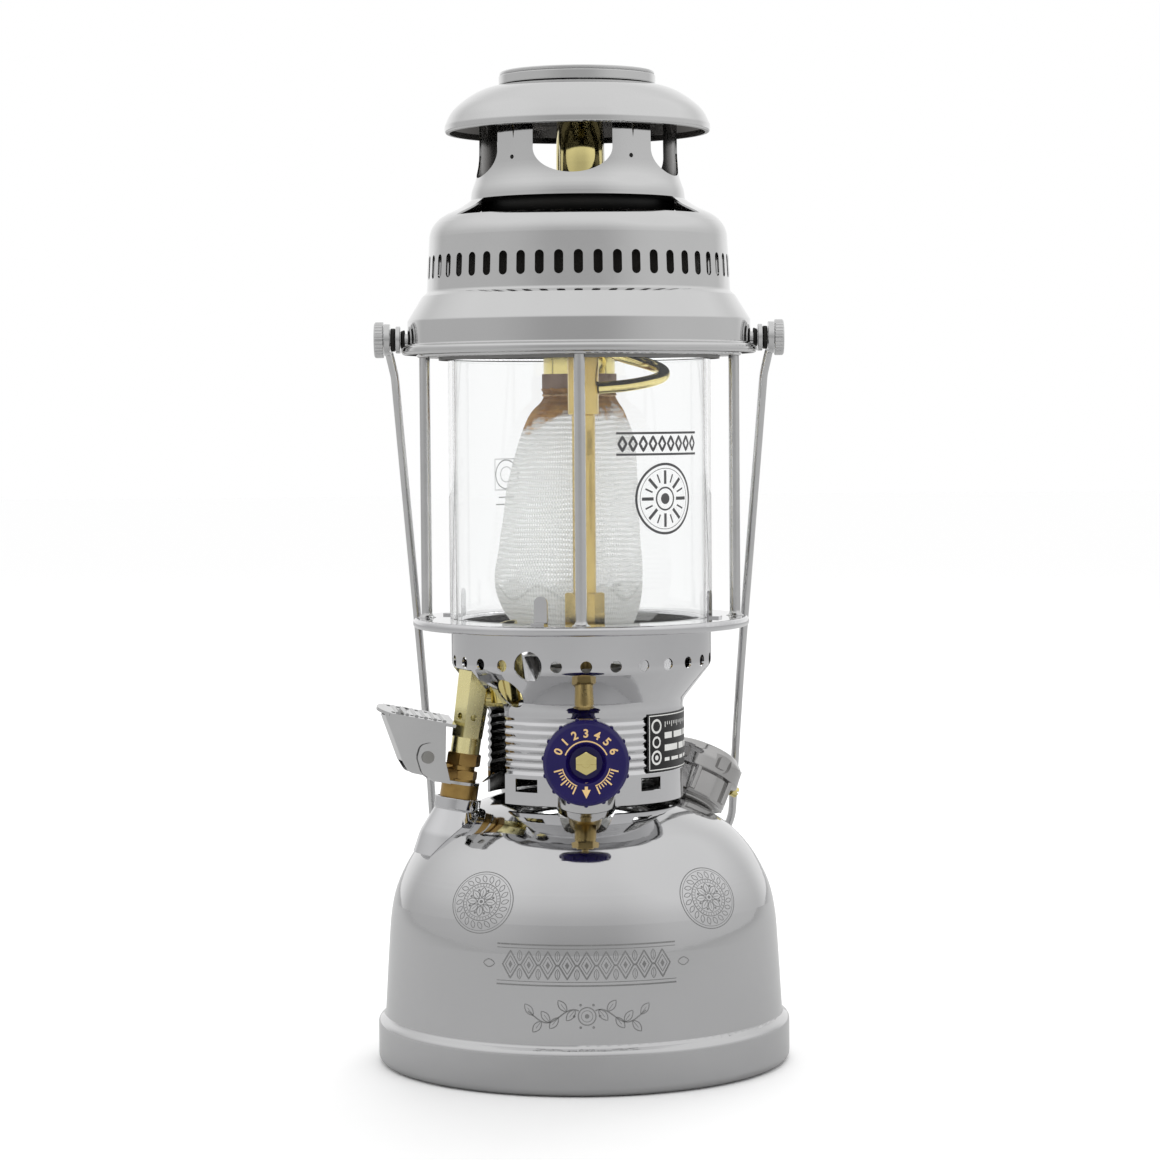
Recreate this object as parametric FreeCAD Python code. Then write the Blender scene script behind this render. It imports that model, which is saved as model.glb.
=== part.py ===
import FreeCAD, Part
import os
from math import asin, atan2, cos, degrees, hypot, pi, radians, sin, tan

# Kerosene pressure lantern, in millimetres. +Z is up, the origin is the centre of the foot on the ground,
# -Y is the side with the control wheel and +X is to its right.

V = FreeCAD.Vector
ORIGIN = V(0, 0, 0)
UP = V(0, 0, 1)
SMOOTH = "smooth"          # a corner rounded as widely as its two runs allow

# ---- driving dimensions -------------------------------------------------------------------------------

# Fuel tank
FOOT_BEAD_R = 84.3
FOOT_BEAD_TOP = 17.0
TANK_WALL_R = FOOT_BEAD_R - 3.1
TANK_SHOULDER_Z = 60.0
TANK_TOP_Z = 109.5
TANK_SHEET = 0.8
TANK_BOTTOM_RISE = 6.0

# Glass cylinder
GLASS_R = 53.5
GLASS_HEIGHT = 105.9
GLASS_WALL = 2.5

# Cage: ribbed base, ring, pillars and top ring
COLLAR_R = 41.4
COLLAR_FOOT_Z = TANK_TOP_Z - 1.9
COLLAR_FLARE_Z = COLLAR_FOOT_Z + 39.4
COLLAR_TOP_R = GLASS_R - 0.4
RING_Z = COLLAR_FLARE_Z + 34.0
RING_BORE_R = GLASS_R - 5.3
CAGE_SHEET = 0.9
RIB_COUNT = 7
RIB_PITCH = 3.3
RIB_DEPTH = 0.9
PILLAR_R = 2.2
PILLAR_CIRCLE_R = GLASS_R + 9.5
PILLAR_COUNT = 4
RING_R = PILLAR_CIRCLE_R + 5.6
TOP_RING_Z = RING_Z + GLASS_HEIGHT + 0.1
TOP_RING_R = PILLAR_CIRCLE_R + 3.2
TOP_RING_BORE_R = GLASS_R + 4.1
TOP_RING_HEIGHT = 14.0
TAB_COUNT = 4
TAB_WIDTH = 5.4
AIR_HOLE_COUNT = 28
AIR_HOLE_D = 4.7
AIR_HOLE_Z = COLLAR_FLARE_Z + 17.2
MATCH_HOLE_D = 12.0
WINDOW_LOW = COLLAR_FOOT_Z + 5.2
WINDOW_HEIGHT = 5.3
WINDOW_WIDTH = 10.5
WINDOW_AZIMUTHS = [-48.0, 6.0, 60.0, 168.0]
PLAIN_WINDOW_AZIMUTH = 237.0          # the tongue is left out beside the torch
ARCH_HALF_WIDTH = 11.5                # opening round the control spindle

# Hood, chimney collar and cap
HOOD_BAND_R = TOP_RING_R + 3.6
HOOD_BEAD_R = HOOD_BAND_R + 2.5
HOOD_WALL_R = HOOD_BAND_R - 8.8
HOOD_FOOT_Z = TOP_RING_Z + 1.0
HOOD_TOP_Z = HOOD_FOOT_Z + 62.4
HOOD_SHEET = 0.7
HOOD_SLOT_COUNT = 50
HOOD_SLOT_WIDTH = 3.6
HOOD_SLOT_HEIGHT = 9.4
CHIMNEY_FOOT_R = HOOD_WALL_R - 17.5
CHIMNEY_R = CHIMNEY_FOOT_R - 3.1
CHIMNEY_POST_COUNT = 5
CHIMNEY_POST_ANGLE = 26.0
CHIMNEY_TURN = -93.0                  # azimuth of one opening's middle
CHIMNEY_SLOT_DEPTH = 7.0
CHIMNEY_TIE_ANGLE = 30.0              # half of the hood's width that still carries the chimney on each side
CAP_R = CHIMNEY_R + 13.5
CAP_RIM_Z = HOOD_TOP_Z + 27.1
CAP_SEAT = 15.3                       # the posts' height above the cap's rim, up to the cap's underside
CAP_TOP_Z = CAP_RIM_Z + 19.2
DISC_R = CAP_R - 22.1
DISC_TOP_Z = CAP_TOP_Z + 5.3

# Burner: vaporizer, control spindle, mixing tube, nozzle and mantle
CASING_R = GLASS_R - 1.5
CASING_Z = TOP_RING_Z + 1.0
BRIDGE_Z = CASING_Z + 10.2
BRIDGE_HALF_WIDTH = 17.0
VAPORIZER_X = 1.5
VAPORIZER_Y = -30.0
VAPORIZER_R = 4.6
VAPORIZER_HEAD_R = 6.15
VAPORIZER_TOP_Z = TOP_RING_Z + 7.0
VAPORIZER_BASE_Z = TANK_TOP_Z + 3.0
VAPORIZER_NUT_Z = RING_Z - 2.5
LOOP_R = 2.4
DIP_TUBE_R = 4.6
SPINDLE_Z = TANK_TOP_Z + 19.0
SPINDLE_R = 2.2
WHEEL_R = 16.8
WHEEL_FRONT_Y = -75.0
WHEEL_THICKNESS = 9.0
WHEEL_NUB_COUNT = 15
SPINDLE_ARM_Y = WHEEL_FRONT_Y + 22.0
NEEDLE_ROD_R = 1.2
CRANK_THROW = 2.0
CRANK_PIN_R = 1.3
BURNER_Y = 6.0
CHAMBER_R = 14.7
MIXING_TUBE_R = 8.75
MIXING_TUBE_TOP_Z = CAP_RIM_Z + 3.7
NOZZLE_R = 15.3
NOZZLE_TOP_Z = TOP_RING_Z - 7.0
MANTLE_R = 30.6
MANTLE_LOW_Z = RING_Z - 14.0
MANTLE_WALL = 0.8

# Preheater on the left, in a plane turned by its azimuth; u is the radius in that plane
PREHEATER_AZIMUTH = 197.0
PREHEATER_FOOT_R = COLLAR_R + 13.4
PREHEATER_FOOT_Z = TANK_TOP_Z - 14.5
PREHEATER_TILT = -9.0
PREHEATER_ROD_R = 2.2
TORCH_FLATS = 11.0
TORCH_TOP_FLATS = 12.6
TORCH_HEX_LOW = 38.6
BRACKET_PLATE_LOW = 19.6
BRACKET_PLATE_TOP = BRACKET_PLATE_LOW + 1.2
TORCH_TOP = 65.6                      # along the torch, from its foot
ELBOW_R = 4.1
LEVER_PIN_U = PREHEATER_FOOT_R + 11.9
LEVER_PIN_Z = PREHEATER_FOOT_Z + 31.2
LEVER_PIN_R = 1.6
LEVER_SHEET = 0.9
LEVER_WIDTH = 8.6
LEVER_PAD_WIDTH = 14.6
LEVER_PAD_TIP = 11.0                  # the pad leans this much towards the front
LEVER_RIB_COUNT = 6
LEVER_RIB_PITCH = 3.93
CAM_DROP = 4.2                        # the lever's cam bar lies this far below its pin
CAM_R = 1.1
VALVE_ROD_R = 1.4

# Filler cap with gauge, on the right towards the back
FILLER_AZIMUTH = 39.0
FILLER_FOOT_R = TANK_WALL_R - 27.0
FILLER_FOOT_Z = TANK_TOP_Z - 12.4
FILLER_TILT = 29.0
FILLER_CAP_R = 18.0
FILLER_CAP_LOW = 5.0
FILLER_CAP_HEIGHT = 22.5
FILLER_SKIRT_R = FILLER_CAP_R - 2.2
FILLER_STEP = 10.5                    # height of the narrower skirt
FILLER_GRIP_COUNT = 6
FILLER_GRIP_WIDTH = 8.0
FILLER_NECK_R = 11.0
FILLER_NECK_TOP = 14.0
GASKET_HEIGHT = 1.2
BLEED_R = 1.5
BLEED_Z = FILLER_CAP_LOW + FILLER_STEP + 1.9
BLEED_AZIMUTH = -12.0

# Pump at the back
PUMP_AZIMUTH = 110.0
PUMP_FOOT_R = TANK_WALL_R - 24.2
PUMP_FOOT_Z = TANK_TOP_Z - 13.5
PUMP_TILT = 22.0
PUMP_BARREL_R = 10.5
PUMP_BARREL_TOP = 9.0
PUMP_BARREL_DEPTH = 84.0
PUMP_WALL = 0.8
PUMP_ROD_R = 2.2

# Bail and its pivots
PIVOT_Z = TOP_RING_Z + 7.3
STUD_R = 2.5
STUD_END_X = TOP_RING_R + 16.2
EYE_X = TOP_RING_R + 11.9
EYE_WIDTH = 2.2
EYE_R = 6.5
BAIL_WIRE_R = 1.7
BAIL_LENGTH = PIVOT_Z - 54.3
BAIL_ARM_X = EYE_X - 2.7
BAIL_END_X = EYE_X - 14.1
BAIL_DENT = 4.0                       # dent at the middle of the bail's end, where a hook centres itself
KNOB_R = 7.3
KNOB_KNURLS = 30

# Clearances
RUNNING = 0.08             # between a shaft or piston and its bore
REST_GAP = 0.3             # between loose pieces at rest
SEAT = 0.05                # between a plug and the hole that it is fixed in


# ---- outline and solid helpers ------------------------------------------------------------------------

def corner_radii(points):
    """The tangent radius of each corner of an open path of (x, y, z, radius) points."""
    radii = [0.0] * len(points)
    for i in range(1, len(points) - 1):
        wanted = points[i][1]
        before = points[i - 1][0] - points[i][0]
        after = points[i + 1][0] - points[i][0]
        turn = pi - before.getAngle(after)
        if not wanted or turn < 1e-4:
            continue
        room = 0.499 * min(before.Length, after.Length) / tan(turn / 2)
        radii[i] = room if wanted == SMOOTH else min(wanted, room)
    return radii


def rounded_edges(places, radii):
    """Straight runs through the places, joined by tangent arcs of the given radii."""
    edges = []
    start = places[0]
    for i in range(1, len(places) - 1):
        before = places[i - 1] - places[i]
        after = places[i + 1] - places[i]
        turn = pi - before.getAngle(after)
        if radii[i] < 1e-3 or turn < 1e-4:
            edges.append(Part.makeLine(start, places[i]))
            start = places[i]
            continue
        run = radii[i] * tan(turn / 2)
        first = places[i] + before.normalize() * run
        last = places[i] + after.normalize() * run
        inward = (before + after).normalize()
        middle = places[i] + inward * (radii[i] / cos(turn / 2) - radii[i])
        if (first - start).Length > 1e-5:
            edges.append(Part.makeLine(start, first))
        edges.append(Part.Arc(first, middle, last).toShape())
        start = last
    if (places[-1] - start).Length > 1e-5:
        edges.append(Part.makeLine(start, places[-1]))
    return edges


def profile_points(corners):
    """Turn (r, z) or (r, z, radius) corners into places in the XZ plane with their wanted radii."""
    return [(V(c[0], 0, c[1]), c[2] if len(c) > 2 else 0) for c in corners]


def turned(corners):
    """A solid of revolution about Z from a closed outline of (r, z) or (r, z, radius) corners."""
    points = profile_points(corners)
    radii = corner_radii(points)
    places = [p[0] for p in points]
    edges = rounded_edges(places, radii) + [Part.makeLine(places[-1], places[0])]
    face = Part.Face(Part.Wire(edges))
    return face.revolve(ORIGIN, UP, 360)


def sheet(corners, thickness):
    """Sheet metal turned about Z. The corners give one face, and the sheet lies to the left of the path."""
    points = profile_points(corners)
    radii = corner_radii(points)
    places = [p[0] for p in points]
    runs = [(places[i + 1] - places[i]).normalize() for i in range(len(places) - 1)]
    normals = [V(-run.z, 0, run.x) for run in runs]
    far_places = [places[0] + normals[0] * thickness]
    far_radii = [0.0]
    for i in range(1, len(places) - 1):
        spread = normals[i - 1] + normals[i]
        far_places.append(places[i] + spread * (thickness / (1 + normals[i - 1].dot(normals[i]))))
        turn_left = runs[i - 1].x * runs[i].z - runs[i - 1].z * runs[i].x > 0
        offset_r = radii[i] - thickness if turn_left else radii[i] + thickness
        far_radii.append(max(0.0, offset_r) if radii[i] else 0.0)
    far_places.append(places[-1] + normals[-1] * thickness)
    far_radii.append(0.0)
    near = rounded_edges(places, radii)
    far = rounded_edges(far_places, far_radii)
    ends = [Part.makeLine(places[-1], far_places[-1]), Part.makeLine(far_places[0], places[0])]
    wire = Part.Wire(Part.__sortEdges__(near + far + ends))
    return Part.Face(wire).revolve(ORIGIN, UP, 360)


def rod(radius, low, high, bore=0.0):
    """An upright round bar from low to high, with an optional through bore."""
    bar = Part.makeCylinder(radius, high - low, V(0, 0, low))
    if bore:
        bar = bar.cut(Part.makeCylinder(bore, high - low + 2, V(0, 0, low - 1)))
    return bar


def prism(outline, low, high):
    """An upright prism over a closed outline of (x, y) corners."""
    places = [V(x, y, low) for x, y in outline]
    return Part.Face(Part.makePolygon(places + places[:1])).extrude(V(0, 0, high - low))


def hexagon(flats, low, high, bore=0.0, chamfer=0.5):
    """A hexagonal nut or bar with chamfered ends."""
    reach = flats / 2 / cos(pi / 6)
    body = prism([(reach * cos(k * pi / 3), reach * sin(k * pi / 3)) for k in range(6)], low, high)
    cone_r = flats / 2 + 0.15
    body = body.common(turned([(0, low), (cone_r, low), (cone_r + chamfer * 1.7, low + chamfer),
                               (cone_r + chamfer * 1.7, high - chamfer), (cone_r, high), (0, high)]))
    if bore:
        body = body.cut(Part.makeCylinder(bore, high - low + 2, V(0, 0, low - 1)))
    return body


def tapered_hexagon(flats_low, flats_high, low, high):
    """A hexagonal tube blank that widens towards its top."""
    wires = []
    for flats, z in ((flats_low, low), (flats_high, high)):
        reach = flats / 2 / cos(pi / 6)
        corners = [V(reach * cos(k * pi / 3), reach * sin(k * pi / 3), z) for k in range(6)]
        wires.append(Part.makePolygon(corners + corners[:1]))
    return Part.makeLoft(wires, True, True)


def box(low, high):
    return Part.makeBox(high[0] - low[0], high[1] - low[1], high[2] - low[2], V(*low))


def moved(shape, place):
    out = shape.copy()
    out.translate(place)
    return out


def spun(shape, angle):
    """The shape turned about Z."""
    out = shape.copy()
    out.rotate(ORIGIN, UP, angle)
    return out


def stand(shape, foot, azimuth=0.0, tilt=0.0):
    """Lean an upright piece outwards by tilt, turn it to its azimuth and set its foot in place."""
    out = shape.copy()
    out.rotate(ORIGIN, V(0, 1, 0), tilt)
    out.rotate(ORIGIN, UP, azimuth)
    out.translate(foot)
    return out


def facing_front(shape, place):
    """Lay an upright piece down so that its top points to -Y."""
    out = shape.copy()
    out.rotate(ORIGIN, V(1, 0, 0), 90)
    out.translate(place)
    return out


def facing_side(shape, place, side):
    """Lay an upright piece down so that its top points to +X (side 1) or -X (side -1)."""
    out = shape.copy()
    out.rotate(ORIGIN, V(0, 1, 0), 90 * side)
    out.translate(place)
    return out


def polar(radius, azimuth, z):
    return V(radius * cos(radians(azimuth)), radius * sin(radians(azimuth)), z)


def swept(places, radii, radius):
    """A round bar along straight runs joined by tangent arcs."""
    edges = rounded_edges(places, radii)
    path = Part.Wire(edges)
    direction = (places[1] - places[0]).normalize()
    ring = Part.Wire([Part.makeCircle(radius, places[0], direction)])
    return path.makePipeShell([ring], True, False)


def pipe(places, radii, outer_r, inner_r):
    return swept(places, radii, outer_r).cut(swept(places, radii, inner_r))


def joined(shapes):
    return shapes[0].multiFuse(shapes[1:]).removeSplitter() if len(shapes) > 1 else shapes[0]


def without(shape, tools):
    """Cut a list of tools away."""
    return shape.cut(Part.makeCompound(tools)) if tools else shape


PARTS = {}


def add(name, *shapes):
    """Keep one node, as a single solid or as a group of separate solids."""
    solids = [solid for shape in shapes for solid in shape.Solids]
    PARTS[name] = solids[0] if len(solids) == 1 else Part.makeCompound(solids)


# ---- fuel tank ----------------------------------------------------------------------------------------

TANK_OUTSIDE = [
    (FOOT_BEAD_R - 7.0, 0), (FOOT_BEAD_R, 0, 3.0), (FOOT_BEAD_R, FOOT_BEAD_TOP, 2.2),
    (TANK_WALL_R + 0.2, FOOT_BEAD_TOP + 2.0, 1.6), (TANK_WALL_R - 1.2, TANK_SHOULDER_Z - 17.0, SMOOTH),
    (TANK_WALL_R - 2.3, TANK_SHOULDER_Z, SMOOTH), (TANK_WALL_R - 4.6, TANK_SHOULDER_Z + 11.5, SMOOTH),
    (TANK_WALL_R - 11.2, TANK_TOP_Z - 24.9, SMOOTH), (TANK_WALL_R - 19.7, TANK_TOP_Z - 15.3, SMOOTH),
    (COLLAR_R + 11.4, TANK_TOP_Z - 9.6, SMOOTH), (COLLAR_R - 1.4, TANK_TOP_Z - 3.0, SMOOTH),
    (COLLAR_R - 18.2, TANK_TOP_Z, SMOOTH), (0, TANK_TOP_Z)]

VAPORIZER_AXIS = V(VAPORIZER_X, VAPORIZER_Y, 0)
PREHEATER_FOOT = polar(PREHEATER_FOOT_R, PREHEATER_AZIMUTH, PREHEATER_FOOT_Z)
FILLER_FOOT = polar(FILLER_FOOT_R, FILLER_AZIMUTH, FILLER_FOOT_Z)
PUMP_FOOT = polar(PUMP_FOOT_R, PUMP_AZIMUTH, PUMP_FOOT_Z)
BASE_SPIGOT_R = 8.0
PREHEATER_SPIGOT_R = 4.5


def on_pump(shape):
    return stand(shape, PUMP_FOOT, PUMP_AZIMUTH, PUMP_TILT)


def on_filler(shape):
    return stand(shape, FILLER_FOOT, FILLER_AZIMUTH, FILLER_TILT)


def on_preheater(shape):
    return stand(shape, PREHEATER_FOOT, PREHEATER_AZIMUTH, PREHEATER_TILT)


def tank_envelope(grown=0.0):
    """The space inside the tank, up to its outer face or a little beyond."""
    outline = [(c[0] + grown, c[1] + grown) + c[2:] for c in TANK_OUTSIDE[1:-1]]
    return turned([(0, 0), (FOOT_BEAD_R - 7.0, 0)] + outline + [(0, TANK_TOP_Z + grown)])


def make_tank():
    envelope = tank_envelope(SEAT)
    shell = sheet(TANK_OUTSIDE, TANK_SHEET)
    spigots = [moved(rod(BASE_SPIGOT_R, TANK_TOP_Z - 20, TANK_TOP_Z + 20), VAPORIZER_AXIS),
               on_preheater(rod(PREHEATER_SPIGOT_R, -9, 14)),
               on_filler(rod(FILLER_NECK_R, -14, 14)), on_pump(rod(PUMP_BARREL_R + SEAT, -14, 14))]
    add("fuel_tank", without(shell, spigots))

    plate_r = FOOT_BEAD_R - 3.3
    base_z = TANK_SHEET
    add("tank_bottom", sheet([(plate_r, base_z), (plate_r - 6.5, base_z, 2.0),
                              (plate_r - 10.5, base_z + TANK_BOTTOM_RISE, 2.5),
                              (plate_r - 26.0, base_z + TANK_BOTTOM_RISE + 1.2, SMOOTH),
                              (0, base_z + TANK_BOTTOM_RISE + 1.2)][::-1], TANK_SHEET).cut(
                                  Part.makeCylinder(200, 1, V(0, 0, base_z - 1))))

    boss_low = TANK_TOP_Z - 9.5
    base_boss = joined([moved(rod(12.5, boss_low, VAPORIZER_BASE_Z), VAPORIZER_AXIS).cut(envelope),
                        moved(rod(BASE_SPIGOT_R, boss_low + 2.0, VAPORIZER_BASE_Z), VAPORIZER_AXIS)])
    dip_bore = rod(DIP_TUBE_R + 0.6, boss_low - 5, VAPORIZER_BASE_Z + 5)
    add("vaporizer_boss", base_boss.cut(moved(dip_bore, VAPORIZER_AXIS)))

    cone = turned([(0, -10), (15.0, -10), (13.4, -1.0, 8), (9.0, 9.2, 2), (9.3, 9.8), (9.3, 14.0, 0.6),
                   (8.5, 14.0), (8.1, 13.2), (0, 13.2)])
    cone = joined([on_preheater(cone).cut(envelope), on_preheater(rod(PREHEATER_SPIGOT_R, -8, 13.2))])
    add("preheater_boss", cone.cut(on_preheater(rod(2.2, -9, 15))))

    neck = turned([(0, -12), (FILLER_NECK_R + 6, -12), (FILLER_NECK_R + 6, 1, 1),
                   (FILLER_NECK_R + 1.2, 3.0, 1.5), (FILLER_NECK_R + 1.2, FILLER_NECK_TOP, 0.6),
                   (0, FILLER_NECK_TOP)])
    neck = joined([on_filler(neck).cut(envelope), on_filler(rod(FILLER_NECK_R, -11, FILLER_NECK_TOP))])
    add("filler_neck", neck.cut(on_filler(rod(FILLER_NECK_R - 2.2, -13, 15))))

    collar = turned([(0, -14), (PUMP_BARREL_R + 5, -14), (PUMP_BARREL_R + 5, 1, 1),
                     (PUMP_BARREL_R + 2.2, 3, 1.5), (PUMP_BARREL_R + 2.2, 9.0, 0.6), (0, 9.0)])
    collar = on_pump(collar).cut(envelope)
    add("pump_boss", collar.cut(on_pump(rod(PUMP_BARREL_R + SEAT, -16, 10))))


# ---- cage ---------------------------------------------------------------------------------------------

def collar_path():
    """Outer face of the cage base, from its foot over the ribs and the flare to its top edge."""
    path = [(COLLAR_R, COLLAR_FOOT_Z)]
    first_rib = COLLAR_FOOT_Z + 12.0
    for rib in range(RIB_COUNT):
        z = first_rib + rib * RIB_PITCH
        path.append((COLLAR_R, z, 0.8))
        path.append((COLLAR_R - RIB_DEPTH, z + RIB_PITCH / 2, 0.8))
    path.append((COLLAR_R, first_rib + RIB_COUNT * RIB_PITCH, 1.2))
    flare_height = (COLLAR_TOP_R - COLLAR_R) * 1.28
    path.append((COLLAR_R, COLLAR_FLARE_Z, 6.0))
    path.append((COLLAR_TOP_R, COLLAR_FLARE_Z + flare_height, 5.0))
    path.append((COLLAR_TOP_R, RING_Z - CAGE_SHEET))
    return path


def radial_rod(radius, azimuth, z):
    """A bar that points outwards from the axis, to cut a round hole in a wall."""
    return spun(Part.makeCylinder(radius, 50.0, V(30.0, 0, z), V(1, 0, 0)), azimuth)


def front_arch(half_width, top_z, low_z, near, far):
    """An upright slot with a round top, cut through the wall from y=near to y=far at the spindle."""
    centre_z = top_z - half_width
    block = box((VAPORIZER_X - half_width, near, low_z), (VAPORIZER_X + half_width, far, centre_z))
    arch = Part.makeCylinder(half_width, far - near, V(VAPORIZER_X, near, centre_z), V(0, 1, 0))
    return block.fuse(arch)


def draught_window(azimuth):
    """A window near the foot of the cage base."""
    half = WINDOW_WIDTH / 2
    window = box((COLLAR_R - 4, -half, WINDOW_LOW), (COLLAR_R + 4, half, WINDOW_LOW + WINDOW_HEIGHT))
    return spun(window, azimuth)


def window_tongue(azimuth):
    """The tongue bent inwards at the lower edge of a draught window."""
    half = WINDOW_WIDTH / 2 - 0.35
    tongue = prism([(0, 0), (0.8, 0), (-4.2, 4.2), (-4.8, 3.6)], -half, half)
    tongue.rotate(ORIGIN, V(1, 0, 0), 90)
    tongue.translate(V(COLLAR_R - CAGE_SHEET, 0, WINDOW_LOW))
    return spun(tongue, azimuth)


def preheater_opening():
    """The opening in the cage base where the torch stands, with a lobe for its elbow tube."""
    height = COLLAR_FLARE_Z + 14.4
    wedge = prism([(30, -23), (56, -31), (56, 22), (30, 15)], COLLAR_FOOT_Z - 1, height - 6)
    top = prism([(36, -12), (62, -12), (62, 14.5), (36, 14.5)], height - 7, height)
    lobe = Part.makeCylinder(5.8, 40, V(20, 0, COLLAR_FLARE_Z + 5.5), V(1, 0, 0))
    lobe = spun(lobe, 34)
    return spun(joined([wedge, top]), PREHEATER_AZIMUTH).fuse(spun(lobe, PREHEATER_AZIMUTH))


def make_cage():
    collar = sheet(collar_path(), CAGE_SHEET)
    cuts = [front_arch(ARCH_HALF_WIDTH, SPINDLE_Z + 11.0, COLLAR_FOOT_Z - 2, -60, -20), preheater_opening()]
    pitch = 360.0 / AIR_HOLE_COUNT
    for k in range(AIR_HOLE_COUNT):
        azimuth = -90 + 2.0 + k * pitch
        match_hole = k == AIR_HOLE_COUNT - 2
        cuts.append(radial_rod((MATCH_HOLE_D if match_hole else AIR_HOLE_D) / 2, azimuth, AIR_HOLE_Z))
    cuts += [draught_window(azimuth) for azimuth in WINDOW_AZIMUTHS + [PLAIN_WINDOW_AZIMUTH]]
    collar = without(collar, cuts)
    tongues = [window_tongue(azimuth) for azimuth in WINDOW_AZIMUTHS]
    add("cage_base", joined([collar] + tongues))

    lip_z = RING_Z - 3.8
    ring = sheet([(RING_BORE_R, RING_Z - 4.4), (RING_BORE_R, RING_Z, 1.2), (RING_R, RING_Z, 1.7),
                  (RING_R, lip_z, 1.5), (RING_R - 3.4, lip_z)][::-1], CAGE_SHEET)
    add("cage_ring", ring)

    pillar = rod(PILLAR_R, RING_Z, TOP_RING_Z)
    add("cage_pillars", *[moved(pillar, polar(PILLAR_CIRCLE_R, -90 + k * 360 / PILLAR_COUNT, 0))
                          for k in range(PILLAR_COUNT)])

    top_ring = sheet([(TOP_RING_BORE_R, TOP_RING_Z), (TOP_RING_R, TOP_RING_Z, 1.0),
                      (TOP_RING_R, TOP_RING_Z + TOP_RING_HEIGHT)], 1.0)
    stud_bores = [facing_side(rod(STUD_R, 40, 90), V(0, 0, PIVOT_Z), side) for side in (1, -1)]
    add("cage_top_ring", without(top_ring, stud_bores))

    disc_x = STUD_END_X - 7.8
    stud = turned([(0, TOP_RING_R - 3.0), (3.6, TOP_RING_R - 3.0), (3.6, TOP_RING_R - 1.3),
                   (STUD_R, TOP_RING_R - 1.3), (STUD_R, disc_x - 1.9), (5.5, disc_x - 1.9, 0.3),
                   (5.5, disc_x, 0.3), (STUD_R, disc_x), (STUD_R, STUD_END_X - 0.4),
                   (STUD_R - 0.4, STUD_END_X), (0, STUD_END_X)])
    add("pivot_studs", *[facing_side(stud, V(0, 0, PIVOT_Z), side) for side in (1, -1)])

    tab_x = GLASS_R + REST_GAP
    tab_top = RING_Z + 8.5
    tab = joined([box((tab_x, -TAB_WIDTH / 2, RING_Z), (tab_x + 0.9, TAB_WIDTH / 2, tab_top)),
                  Part.makeCylinder(TAB_WIDTH / 2, 0.9, V(tab_x, 0, tab_top), V(1, 0, 0)),
                  box((tab_x, -TAB_WIDTH / 2, RING_Z), (tab_x + 5.0, TAB_WIDTH / 2, RING_Z + 0.8))])
    add("glass_tabs", *[spun(tab, -107 + k * 360 / TAB_COUNT) for k in range(TAB_COUNT)])

    plate_low = COLLAR_FOOT_Z + 12.5
    plate_high = COLLAR_FOOT_Z + 35.8
    plate_r = COLLAR_R + SEAT
    plate = turned([(plate_r, plate_low), (plate_r + 0.45, plate_low), (plate_r + 0.45, plate_high),
                    (plate_r, plate_high)])
    sector = prism([(0, 0), (60, 0), (60 * cos(radians(58)), 60 * sin(radians(58)))], 100, 160)
    add("label_plate", plate.common(spun(sector, -51)))


# ---- glass --------------------------------------------------------------------------------------------

def make_glass():
    top = RING_Z + GLASS_HEIGHT
    inner = GLASS_R - GLASS_WALL
    add("globe_glass", turned([(inner, RING_Z), (GLASS_R, RING_Z), (GLASS_R, top, 0.8), (inner, top, 0.8),
                               (inner, RING_Z + 1)]))


# ---- hood, chimney and cap ----------------------------------------------------------------------------

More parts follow.
